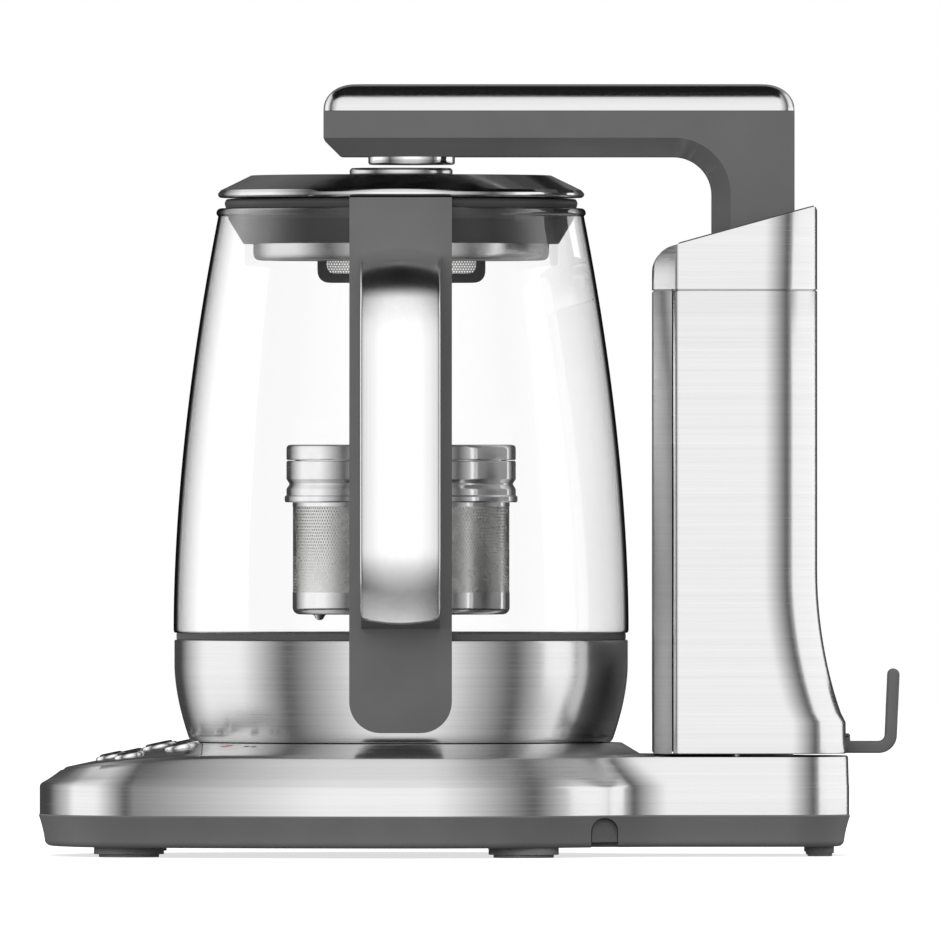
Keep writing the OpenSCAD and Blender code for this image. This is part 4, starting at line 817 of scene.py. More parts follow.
def inlay(obj: Solid, look: Look, test: Callable[[float, float, float], bool]) -> None:
    """Gives some faces of a revolved piece a second finish.

    Args:
        obj: the piece, already dressed.
        look: the second finish.
        test: tells from a face's radius, height and outward slope whether it gets it.
    """
    obj.data.materials.append(look.value.make())
    last = len(obj.data.materials) - 1
    for face in obj.data.polygons:
        x, y = face.center.x / MM - SHIFT[0], face.center.y / MM - SHIFT[1]
        r = max(math.hypot(x, y), 1e-6)
        if test(r, face.center.z / MM, (face.normal.x * x + face.normal.y * y) / r):
            face.material_index = last


def piece(obj: Solid, look: Look, body: str, slot: str, *nodes: str) -> Solid:
    """Hands a finished piece to the frame.

    Args:
        obj: the piece.
        look: its finish.
        body: the CAD body that it moves with.
        slot: the record's material slot.
        nodes: the CAD nodes that it stands for.

    Returns:
        The piece.
    """
    dress(obj, look)
    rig.ride(obj, body)
    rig.slot(obj, slot)
    if nodes:
        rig.replaces(obj, *nodes)
    LOG.info("piece %s on %s, %d faces", obj.name, body, len(obj.data.polygons))
    return obj


def turned(name: str, loop: Sequence[Point2], steps: int, look: Look, body: str, slot: str, node: str,
        sharp: float = 38.0) -> Solid:
    """Hands over a piece turned about the kettle's axis.

    Args:
        name: its name.
        loop: its closed outline of (radius, height).
        steps: steps round the axis.
        look: its finish.
        body: the CAD body that it moves with.
        slot: the record's material slot.
        node: the CAD node that it stands for.
        sharp: angle in degrees above which an edge stays crisp.

    Returns:
        The piece.
    """
    return piece(Form(name).revolve(loop, (0, 0), steps).finish(sharp), look, body, slot, node)


# ------------------------------------------------------------------ node groups for repeated pieces

class Repeats:
    """Geometry Nodes groups that set a small piece at many places."""

    def __init__(self) -> None:
        """Builds the groups."""
        self.scatter = self._scatter()
        self.sheet = self._sheet()

    @staticmethod
    def _group(name: str, sockets: Sequence[tuple[str, str, Any]]) -> Tree:
        """Starts a group with a geometry output and named inputs."""
        group = bpy.data.node_groups.new(name, "GeometryNodeTree")
        group.interface.new_socket("Geometry", in_out="OUTPUT", socket_type="NodeSocketGeometry")
        for label, kind, default in sockets:
            socket = group.interface.new_socket(label, in_out="INPUT", socket_type=kind)
            if default is not None:
                socket.default_value = default
        return group

    def _scatter(self) -> Tree:
        """Sets a copy of an object on each point of the mesh it is given."""
        group = self._group("set_on_points",
                [("Places", "NodeSocketGeometry", None), ("Copy", "NodeSocketObject", None),
                ("Scale", "NodeSocketFloat", 1.0), ("Finish", "NodeSocketMaterial", None)])
        entry = add_node(group, "NodeGroupInput").outputs
        source = add_node(group, "GeometryNodeObjectInfo", {"Object": entry["Copy"]}).outputs["Geometry"]
        copies = add_node(group, "GeometryNodeInstanceOnPoints", {"Points": entry["Places"], "Instance": source,
                "Scale": entry["Scale"]}).outputs["Instances"]
        real = add_node(group, "GeometryNodeRealizeInstances", {"Geometry": copies}).outputs["Geometry"]
        done = add_node(group, "GeometryNodeSetMaterial",
                {"Geometry": real, "Material": entry["Finish"]}).outputs["Geometry"]
        add_node(group, "NodeGroupOutput", {"Geometry": done})
        return group

    def _sheet(self) -> Tree:
        """Tiles a perforated cell in staggered rows and rolls the sheet round an upright axis."""
        group = self._group("perforated_sheet", [
            ("Cell", "NodeSocketObject", None), ("Columns", "NodeSocketInt", 180), ("Rows", "NodeSocketInt", 20),
            ("Pitch", "NodeSocketFloat", 0.001), ("Radius", "NodeSocketFloat", 0.04),
                ("Start", "NodeSocketFloat", 0.0),
            ("Axis", "NodeSocketVector", (0.0, 0.0, 0.0)), ("Finish", "NodeSocketMaterial", None)])
        entry = add_node(group, "NodeGroupInput").outputs

        def maths(kind: str, a: Any, b: Any = 0.0) -> Socket:
            return add_node(group, "ShaderNodeMath", {0: a, 1: b}, operation=kind).outputs[0]

        total = maths("MULTIPLY", entry["Columns"], entry["Rows"])
        points = add_node(group, "GeometryNodePoints", {"Count": total}).outputs[0]
        index = add_node(group, "GeometryNodeInputIndex").outputs[0]
        row = maths("FLOOR", maths("DIVIDE", maths("ADD", index, 0.5), entry["Columns"]))
        column = maths("SUBTRACT", index, maths("MULTIPLY", row, entry["Columns"]))
        stagger = maths("MULTIPLY", maths("MODULO", row, 2.0), 0.5)
        along = maths("MULTIPLY", maths("ADD", column, stagger), entry["Pitch"])
        up = maths("MULTIPLY", maths("MULTIPLY", row, math.sqrt(0.75)), entry["Pitch"])
        flat = add_node(group, "ShaderNodeCombineXYZ", {"X": along, "Z": up}).outputs[0]
        placed = add_node(group, "GeometryNodeSetPosition", {"Geometry": points, "Position": flat}).outputs[0]
        source = add_node(group, "GeometryNodeObjectInfo", {"Object": entry["Cell"]}).outputs["Geometry"]
        copies = add_node(group, "GeometryNodeInstanceOnPoints",
                {"Points": placed, "Instance": source}).outputs["Instances"]
        real = add_node(group, "GeometryNodeRealizeInstances", {"Geometry": copies}).outputs["Geometry"]
        here = add_node(group, "ShaderNodeSeparateXYZ",
                {0: add_node(group, "GeometryNodeInputPosition").outputs[0]}).outputs
        turn = maths("ADD", maths("DIVIDE", here["X"], entry["Radius"]), entry["Start"])
        out = maths("SUBTRACT", entry["Radius"], here["Y"])
        rolled = add_node(group, "ShaderNodeCombineXYZ", {"X": maths("MULTIPLY", out, maths("SINE", turn)),
                "Y": maths("MULTIPLY", out, maths("MULTIPLY", maths("COSINE", turn), -1.0)),
                "Z": here["Z"]}).outputs[0]
        final = add_node(group, "ShaderNodeVectorMath", {0: rolled, 1: entry["Axis"]}, operation="ADD").outputs[0]
        bent = add_node(group, "GeometryNodeSetPosition", {"Geometry": real, "Position": final}).outputs[0]
        joined = add_node(group, "GeometryNodeMergeByDistance", {"Geometry": bent, "Distance": 2e-6}).outputs[0]
        done = add_node(group, "GeometryNodeSetMaterial",
                {"Geometry": joined, "Material": entry["Finish"]}).outputs["Geometry"]
        add_node(group, "NodeGroupOutput", {"Geometry": done})
        return group

    @staticmethod
    def run(obj: Solid, group: Tree, values: dict[str, Any]) -> Solid:
        """Runs a group on an object and keeps its result as the object's own mesh.

        Args:
            obj: the object.
            group: the group.
            values: the group's inputs by name.

        Returns:
            The object.
        """
        modifier = obj.modifiers.new(group.name, "NODES")
        modifier.node_group = group
        for item in group.interface.items_tree:
            if item.item_type == "SOCKET" and item.in_out == "INPUT" and item.name in values:
                modifier[item.identifier] = values[item.name]
        return bake(obj)

    def copies(self, name: str, tool: Solid, places: Sequence[Point3], look: Look,
            scale: float = 1.0) -> Solid:
        """Sets a small piece, made about the frame's origin, at many places.

        Args:
            name: name of the result.
            tool: the small piece, which is used up.
            places: where the copies go, in millimetres about the kettle's axis.
            look: their finish.
            scale: their size.

        Returns:
            One object with all the copies.
        """
        mesh = bpy.data.meshes.new(name)
        mesh.from_pydata([((x + SHIFT[0]) * MM, (y + SHIFT[1]) * MM, z * MM) for x, y, z in places], [], [])
        obj = bpy.data.objects.new(name, mesh)
        bpy.context.scene.collection.objects.link(obj)
        self.run(obj, self.scatter, {"Copy": tool, "Scale": scale, "Finish": look.value.make()})
        bpy.data.objects.remove(tool)
        return obj

    def perforated(self, name: str, look: Look, radius: float, low: float, pitch: float, rows: int, wall: float,
            hole: float, columns: int, start: float = 0.0) -> Solid:
        """Makes a perforated sheet rolled round the kettle's axis.

        Args:
            name: name of the result.
            look: its finish.
            radius: radius of the sheet's middle, in millimetres.
            low: height of the lowest row.
            pitch: distance between neighbouring holes.
            rows: number of rows.
            wall: thickness of the sheet.
            hole: radius of a hole.
            columns: number of holes in a row.
            start: direction of the first hole, in radians from the grip's side.

        Returns:
            The sheet.
        """
        bm = bmesh.new()
        around = [math.radians(30 + 60 * k) for k in range(6)]
        edge, rim = pitch / math.sqrt(3) * MM, hole * MM
        rows_of = [[bm.verts.new((r * math.cos(a), y, r * math.sin(a))) for a in around]
                for r,
                y in ((edge, -wall / 2 * MM), (rim, -wall / 2 * MM), (rim, wall / 2 * MM), (edge, wall / 2 * MM))]
        for a, b in zip(rows_of, rows_of[1:]):
            for i in range(6):
                bm.faces.new((a[i], a[(i + 1) % 6], b[(i + 1) % 6], b[i]))
        mesh = bpy.data.meshes.new(name + "_cell")
        bm.to_mesh(mesh)
        bm.free()
        cell = bpy.data.objects.new(name + "_cell", mesh)
        obj = bpy.data.objects.new(name, bpy.data.meshes.new(name))
        for item in (cell, obj):
            bpy.context.scene.collection.objects.link(item)
        self.run(obj, self.sheet, {"Cell": cell, "Columns": columns, "Rows": rows, "Pitch": pitch * MM,
                "Radius": radius * MM, "Start": start,
                "Axis": (SHIFT[0] * MM, SHIFT[1] * MM, low * MM), "Finish": look.value.make()})
        bpy.data.objects.remove(cell)
        self._close(obj.data)
        shade(obj.data, 50.0)
        return obj

    @staticmethod
    def _close(mesh: bpy.types.Mesh) -> None:
        """Closes the sheet's open edges between its two faces and turns its faces outwards."""
        bm = bmesh.new()
        bm.from_mesh(mesh)
        open_edges = [e for e in bm.edges if e.is_boundary]
        try:
            bmesh.ops.bridge_loops(bm, edges=open_edges)
        except RuntimeError:
            bmesh.ops.holes_fill(bm, edges=open_edges, sides=0)
        bmesh.ops.recalc_face_normals(bm, faces=bm.faces)
        bm.to_mesh(mesh)
        bm.free()


def screw_head(radius: float, height: float, shank: float, length: float, downwards: bool = True) -> Solid:
    """A cross-slot pan-head screw at the frame's origin.

    Args:
        radius: radius of the head, in millimetres.
        height: height of the head.
        shank: radius of the shank.
        length: length of the shank.
        downwards: whether the head's face looks down.

    Returns:
        The screw.
    """
    sign = 1 if downwards else -1
    loop = [(0, 0), (radius * 0.72, 0), (radius * 0.93, height * 0.3), (radius, height), (shank, height),
            (shank, length + height - 1.0), (shank * 0.3, length + height), (0, length + height)]
    screw = Form("screw").revolve([(r, sign * z) for r, z in loop], (-SHIFT[0], -SHIFT[1]), 24).finish()
    for along, across in ((0.62, 0.16), (0.16, 0.62)):
        a, b = radius * along, radius * across
        box = [(-a - SHIFT[0], -b - SHIFT[1]), (a - SHIFT[0], -b - SHIFT[1]), (a - SHIFT[0], b - SHIFT[1]),
               (-a - SHIFT[0], b - SHIFT[1])]
        slot = Form("slot").prism(box, *sorted((-sign * height, sign * height * 0.6))).finish()
        cut(screw, slot)
    return screw


# ------------------------------------------------------------------ the station

@dataclass
class Outline:
    """The station's outline in plan: a blunt nose, two cheeks, the kettle's ring, a waist and the tower foot."""

    nose_r: float = 115.0
    nose_reach: float = 124.5
    cheek_r: float = 48.0
    flank_r: float = 212.0
    ring_r: float = 91.5
    waist_r: float = 30.0
    foot_reach: float = 154.0
    foot_half: float = 46.0
    corner_r: float = 25.0
    lean: float = 8.6
    land: float = 0.8
    dip: float = 4.8
    half: list[tuple[float, float, float, float, int]] = field(default_factory=list)

    def __post_init__(self) -> None:
        """Works out the arcs and their points on the grip's side."""
        nose = Vector((self.nose_r - self.nose_reach, 0))
        flank = Vector((0, self.flank_r - self.ring_r))
        ra, rb = self.nose_r - self.cheek_r, self.flank_r - self.cheek_r
        gap = flank - nose
        d = gap.length
        s = (ra * ra - rb * rb + d * d) / (2 * d)
        u = gap / d
        cheek = nose + s * u + math.sqrt(ra * ra - s * s) * Vector((-u.y, u.x))
        waist = Vector((math.sqrt((self.ring_r + self.waist_r) ** 2 - (self.foot_half + self.waist_r) ** 2),
                -(self.foot_half + self.waist_r)))
        corner = Vector((self.foot_reach - self.corner_r, self.corner_r - self.foot_half))
        start = 360 + math.degrees(math.atan2(cheek.y - nose.y, cheek.x - nose.x))
        end = 360 + math.degrees(math.atan2(cheek.y - flank.y, cheek.x - flank.x))
        waist_dir = math.degrees(math.atan2(-waist.y, -waist.x))
        self.waist_dir, self.waist_x = waist_dir, waist.x
        self.foot_start = self.ring_r * math.cos(math.radians(180 - waist_dir))
        arcs = [(nose, self.nose_r, 180, start, 14, 1), (cheek, self.cheek_r, start, end, 18, 1),
                (flank, self.flank_r, end, 270, 10, 1), (Vector((0, 0)), self.ring_r, 270, 180 + waist_dir, 26, 1),
                (waist, self.waist_r, waist_dir, 90, 16, -1), (corner, self.corner_r, 270, 360, 20, 1)]
        for n, (c, r, a, b, steps, sign) in enumerate(arcs):
            for k in range(1 if n == 0 else 0, steps + (n == len(arcs) - 1)):
                self.half.append((c.x, c.y, r, a + (b - a) * k / steps, sign))
        self.first_waist = next(i for i, p in enumerate(self.half) if p[4] < 0)

    @staticmethod
    def _at(p: tuple[float, float, float, float, int], inset: float) -> Point2:
        """A point of the outline moved in by an inset."""
        r, a = p[2] - p[4] * inset, math.radians(p[3])
        return p[0] + r * math.cos(a), p[1] + r * math.sin(a)

    def _share(self, p: tuple[float, float, float, float, int]) -> float:
        """1 round the kettle, falling to 0 along the tower foot."""
        return 1 - smooth((self._at(p, 0)[0] - self.foot_start) / (self.waist_x - self.foot_start))

    def edge_dip(self, x: float) -> float:
        """How far the deck's edge lies below the deck at x."""
        return self.dip * (max(0.0, -x - 52) / (self.nose_reach - self.lean - 52)) ** 2.3

    def _mirror(self, tip: Point2, half: Sequence[Point2]) -> list[Point2]:
        """A closed outline from its tip and half."""
        return [tip, *half, *[(x, -y) for x, y in reversed(half)]]

    def flat(self, plain: float, round_part: float = 0.0) -> list[Point2]:
        """The outline moved in by a plain part and by a part that only the kettle's ring takes."""
        tip = (-self.nose_reach + plain + round_part, 0.0)
        return self._mirror(tip, [self._at(p, plain + round_part * self._share(p)) for p in self.half])

    def crown(self, inset: float) -> list[Point2]:
        """The outline of the raised deck, closed round the kettle behind the tower foot."""
        half = []
        rest = len(self.half) - self.first_waist
        for i, p in enumerate(self.half):
            if i < self.first_waist:
                half.append(self._at(p, inset))
            else:
                a = math.radians((self.waist_dir - 180) * (1 - (i - self.first_waist) / rest))
                half.append(((self.ring_r - inset) * math.cos(a), (self.ring_r - inset) * math.sin(a)))
        return self._mirror((-self.nose_reach + inset, 0.0), half)

    def ring(self, plain: float, round_part: float, z: float, drop: float = 0.0) -> list[Point3]:
        """The outline at a height, which follows the deck's dip by the share drop."""
        return [(x, y, z - drop * self.edge_dip(x)) for x, y in self.flat(plain, round_part)]

    def crown_ring(self, inset: float, z: float) -> list[Point3]:
        """The raised deck's outline at a height, which follows the deck's dip."""
        return [(x, y, z - self.edge_dip(x)) for x, y in self.crown(inset)]

    def circle_ring(self, radius: float, z: float) -> list[Point3]:
        """As many points as the outline has, on a circle round the kettle."""
        return [(radius * x / math.hypot(x, y), radius * y / math.hypot(x, y), z) for x, y in self.crown(0)]

    def surface(self, x: float, y: float) -> float:
        """Height of the raised deck at a place outside the kettle's plateau."""
        r = math.hypot(x, y)
        edge = self.crown(self.lean + self.land)
        turns = sorted((math.atan2(p[1], p[0]), math.hypot(*p)) for p in edge)
        angles = [t[0] for t in turns]
        i = bisect.bisect(angles, math.atan2(y, x)) % len(turns)
        reach = (turns[i][1] + turns[i - 1][1]) / 2
        return Z.plateau - (3.8 + self.edge_dip(reach * x / r)) * (r - PLATEAU_R) / (reach - PLATEAU_R)


@dataclass
class Station:
    """The housing that the kettle stands on, without its tower."""

    outline: Outline
    repeats: Repeats
    big_feet: tuple[Point2, ...] = ((-93, 45), (-93, -45), (42, 62), (42, -62))
    small_feet: tuple[Point2, ...] = ((143.6, 22), (143.6, -22))
    notch_x: float = 69.68
    notch_in: float = -44.0
    LAMP_REACH: ClassVar = 80.3
    LAMPS: ClassVar = ((222.2, 2.2, Look.RED_LENS), (229, 1.0, Look.DARK_LENS), (231.2, 1.0, Look.DARK_LENS))

    def build(self) -> None:
        """Builds every piece of the station."""
        self.tray()
        self.skirt()
        self.feet()
        self.screws()
        self.lamps()

    def notch(self, grow: float, depth: float) -> Solid:
        """The cutter for the groove that the supply lead leaves by."""
        half = 4.6 + grow
        loop = [(self.notch_x - half, Z.tray - 1), (self.notch_x + half, Z.tray - 1)]
        loop += arc((self.notch_x, Z.tray + 5.5), half, 0, 180, 16)
        return Form("notch").prism(loop, -90, self.notch_in + depth, "xz").finish()

    def tray(self) -> None:
        """The plastic bottom tray, rounded underneath."""
        o, r = self.outline, 2.3
        bends = [math.pi / 2 * k / 8 for k in range(9)]
        rings = [o.ring(r + 5, 0, Z.tray)]
        rings += [o.ring(2.0 + r * (1 - math.sin(t)), 0, Z.tray + r * (1 - math.cos(t))) for t in bends]
        rings += [o.ring(2.0 - 2.0 * t ** 1.3, 0, Z.tray + r + (Z.skirt - 0.5 - Z.tray - r) * t) for t in (0.25,
                0.5, 0.75, 1.0)]
        rings += [o.ring(0.3, 0, Z.skirt), o.ring(2.0, 0, Z.skirt), o.ring(4.2, 0, 9.0), o.ring(7.0, 0, 5.4)]
        tray = Form("tray").loft(rings).finish()
        cut(tray, self.notch(0, 0))
        soften(tray, 0.35, 2, 50)
        # The tray takes a lighter copy of the grey plastic: painted light that makes up for the weaker light it gets
        # low down.
        piece(tray, Look.TRAY_PLASTIC, "base", "grey_plastic", "base_tray")

    def skirt(self) -> None:
        """The brushed steel housing, thin-walled, with its soft crease and rolled deck edge."""
        o, lean = self.outline, self.outline.lean
        wall = [o.ring(0.3, 0, Z.skirt), o.ring(0.3, 0, Z.skirt + 2), o.ring(0.3, 0, Z.crease - 1.0),
                o.ring(0.33, lean * 0.012, Z.crease - 0.45), o.ring(0.4, lean * 0.05, Z.crease + 0.1)]
        slope = [(0.12, 0.12), (0.3, 0.3), (0.5, 0.5), (0.7, 0.7), (0.86, 0.86)]
        wall += [o.ring(0.4 + 0.3 * t, (lean - 0.7) * s, Z.crease + 10.3 * t, t) for s, t in slope]
        rolled = [(0.9, 0.9), (0.91, 0.906), (0.93, 0.916)]
        wall += [o.ring(0.7, (lean - 0.7) * s, Z.crease + 10.3 * t, 1) for s, t in rolled]
        edge = lean + o.land
        top = [o.crown_ring(edge - 0.2, Z.deck - 0.1), o.crown_ring(edge, Z.deck + 0.02)]
        for t in (0.03, 0.25, 0.5, 0.75, 0.97):
            a, b = o.crown_ring(edge, Z.deck + 0.05), o.circle_ring(PLATEAU_R, Z.plateau)
            top.append([tuple(p + (q - p) * t for p, q in zip(u, v)) for u, v in zip(a, b)])
        top += [o.circle_ring(PLATEAU_R, Z.plateau), o.circle_ring(PLATEAU_R - 0.8, Z.plateau),
                o.circle_ring(30, Z.plateau), o.circle_ring(16.6, Z.plateau), o.circle_ring(16.3, Z.plateau - 0.3)]
        inner = [o.circle_ring(16.3, Z.plateau - 1.6), o.circle_ring(PLATEAU_R - 1.6, Z.plateau - 1.6),
                o.crown_ring(edge + 1.6, Z.deck - 1.6), o.ring(2.3, lean - 0.7, Z.deck - 1.7, 1),
                o.ring(1.9, 0, Z.crease - 0.6), o.ring(1.9, 0, Z.skirt)]
        skirt = Form("housing").loft(wall + top + inner, closed=True).finish(34)
        cut(skirt, PanelBed.solid(o, "bed", 0.25, Z.crease, Z.plateau + 1))
        for a, r, _ in self.LAMPS:
            hole = [(0, -7), (r + 0.1, -7), (r + 0.1, 7), (0, 7)]
            cut(skirt, Form("lamp_hole").revolve(hole, (0, 0), 32, 0.0, self.lie(a)).finish())
        shade(skirt.data, 34)
        piece(skirt, Look.HOUSING_STEEL, "base", "brushed_steel_base", "base_skirt")

    def feet(self) -> None:
        """Six stepped rubber feet, the four large ones with a ring groove underneath."""
        form = Form("feet")
        for r, places in ((12.0, self.big_feet), (4.9, self.small_feet)):
            loop = [(0, 0.25), (r * 0.4, 0.25), (r * 0.45, 0), (r * 0.86, 0), (r * 0.86, 1.02), (r, 1.02), (r, 4.2),
                    (0, 4.2)]
            rounded = [loop[0], *fillet(loop, 0.22, 2)[3:-3], loop[-1]]
            for place in places:
                form.revolve(rounded, place, 72)
        # The feet are dark rubber painted a light grey: painted light that makes up for the shade under the housing.
        piece(form.finish(), Look.FOOT_RUBBER, "base", "rubber_dark", "rubber_feet")

    def screws(self) -> None:
        """The cross-slot screws under the tray and the two that hold the lift's chassis."""
        places = [(x, s * y, 3.7) for s in (-1, 1) for x, y in ((-58, 38), (8, 67), (102.4, 39), (134, 37))]
        tray = self.repeats.copies("tray_screws", screw_head(2.6, 1.3, 1.15, 13.0), places, Look.ZINC)
        piece(tray, Look.ZINC, "base", "zinc_screw", "base_screws")
        places = [(SCREW_X - 6, s * 39, 31.9) for s in (-1, 1)]
        chassis = self.repeats.copies("chassis_screws", screw_head(2.6, 1.3, 1.15, 9.0), places, Look.ZINC)
        piece(chassis, Look.ZINC, "base", "zinc_screw", "base_screws")

    def lie(self, turn: float) -> Callable[[Point3], Point3]:
        """Stands a point given about an upright axis on the deck's slope at one lamp."""
        c, s = math.cos(math.radians(turn)), math.sin(math.radians(turn))
        top = self.outline.surface(self.LAMP_REACH * c, self.LAMP_REACH * s)
        further = self.LAMP_REACH + 1
        tilt = math.atan(top - self.outline.surface(further * c, further * s))

        def put(p: Point3) -> Point3:
            along = p[0] * math.cos(tilt) + p[2] * math.sin(tilt) + self.LAMP_REACH
            return along * c - p[1] * s, along * s + p[1] * c, top - p[0] * math.sin(tilt) + p[2] * math.cos(tilt)

        return put

    def lamps(self) -> None:
        """The three small indicator lamps beside the panel: a wide red one and two dark ones."""
        for k, (a, r, look) in enumerate(self.LAMPS):
            loop = [(0, -5), (r + 0.4, -5), (r + 0.4, -3.6), (r, -3.6), (r, -0.1), (r - 0.15, 0.08),
                    (r * 0.5, 0.14), (0, 0.15)]
            lamp = Form(f"lamp_{k}").revolve(loop, (0, 0), 32, 0.0, self.lie(a)).finish()
            piece(lamp, look, "base", "red_lens", "indicator_lights")
            lamp.visible_glossy = False


class PanelBed:
    """The outline of the glossy panel in the nose of the deck."""

    @staticmethod
    def solid(outline: Outline, name: str, grow: float, low: float, high: float) -> Solid:
        """A prism of the panel's outline.

        Args:
            outline: the station's outline.
            name: the solid's name.
            grow: how far the outline is moved out.
            low: its lower height.
            high: its upper height.

        Returns:
            The solid.
        """
        inset = outline.lean + outline.land + 0.5 - grow
        edge = [p for p in outline.crown(inset) if p[0] < -68 + grow]
        edge = sorted((p for p in edge), key=lambda p: math.atan2(p[1], -p[0]))
        x_cut, r = -68 + grow, PLATEAU_R + 0.5 - grow
        y_cut = math.sqrt(max(0.0, r * r - x_cut * x_cut))
        first, last = Vector(edge[0]), Vector(edge[-1])
        inner_turn = math.degrees(math.atan2(y_cut, -x_cut))
        inner = arc((0, 0), r, 180 - inner_turn, 180 + inner_turn, 24)
        outer = [(x_cut, first.y)] + [tuple(p) for p in edge] + [(x_cut, last.y)]
        loop = outer + inner if first.y < 0 else outer[::-1] + inner
        return Form(name).prism(loop, low, high).finish()


@dataclass
class ControlPanel:
    """The glossy panel with its six buttons and bezels."""

    outline: Outline
    tilt: float = math.atan((3.8 + 4.8) / (124.5 - 8.6 - PLATEAU_R))

    def places(self) -> list[tuple[str, Point2, float]]:
        """Name, place and cap radius of each button."""
        out = []
        for row, step, radius, label in ((99.5, 20.8, 3.9, "outer"), (83.0, 25.3, 4.7, "inner")):
            for k, side in enumerate(("left", "middle", "right")):
                a = math.radians(step * (k - 1))
                out.append((f"{label}_button_{side}", (-row * math.cos(a), -row * math.sin(a)), radius))
        return out

    def lay(self, place: Point2) -> Callable[[Point3], Point3]:
        """A move that lays a piece, made upright on the kettle's axis, on the panel at a place."""
        z0 = self.outline.surface(*place)
        s, c = math.sin(self.tilt), math.cos(self.tilt)
        return lambda p: (place[0] + p[0] * c - p[2] * s, place[1] + p[1], z0 + p[0] * s + p[2] * c)

    def build(self) -> None:
        """Builds the panel, the bezels and the buttons."""
        o = self.outline
        edge = o.lean + o.land

        def crown(drop: float) -> list[list[Point3]]:
            a, b = o.crown_ring(edge, Z.deck - drop), o.circle_ring(PLATEAU_R, Z.plateau - drop)
            steps = (0, 0.25, 0.5, 0.75, 1)
            return [[tuple(p + (q - p) * t for p, q in zip(u, v)) for u, v in zip(a, b)] for t in steps]

        solid = Form("panel").loft(crown(-0.02) + crown(2.0)[::-1], closed=True).finish()
        cut(solid, PanelBed.solid(o, "bed", 0.0, Z.crease - 4, Z.plateau + 1), "INTERSECT")
        bezels = Form("bezels")
        for name, place, r in self.places():
            lay = self.lay(place)
            hole = Form("hole").revolve([(0, -8), (r + 0.35, -8), (r + 0.35, -1), (r + 1.5, -1), (r + 1.5, 8),
                    (0, 8)],
                    (0, 0), 48, 0, lay).finish()
            cut(solid, hole)
            loop = [(r + 0.35, -1), (r + 1.5, -1), (r + 1.5, 0.25), (r + 1.35, 0.72), (r + 0.95, 0.98),
                    (r + 0.6, 0.98),
                    (r + 0.35, 0.75)]
            bezels.revolve(loop, (0, 0), 64, 0, lay)
            cap = [(0, -6.2), (1.6, -6.2), (1.6, -3.9), (r + 0.9, -3.9), (r + 0.9, -2.9), (r, -2.9), (r, 1.2),
                    (r - 0.15, 1.45),
                   (r - 0.6, 1.62), (r * 0.75, 1.66), (r * 0.45, 1.48), (0, 1.4)]
            button = Form(name + "_cap").revolve(cap, (0, 0), 64, 0, lay).finish(50)
            piece(button, Look.BUTTON_BLACK, name, "black_gloss", name)
        soften(solid, 0.25, 2, 50)
        piece(solid, Look.BLACK_PANEL, "base", "black_gloss", "control_panel")
        piece(bezels.finish(50), Look.CHROME, "base", "chrome_trim", "button_bezels")


# ------------------------------------------------------------------ the tower and the arm

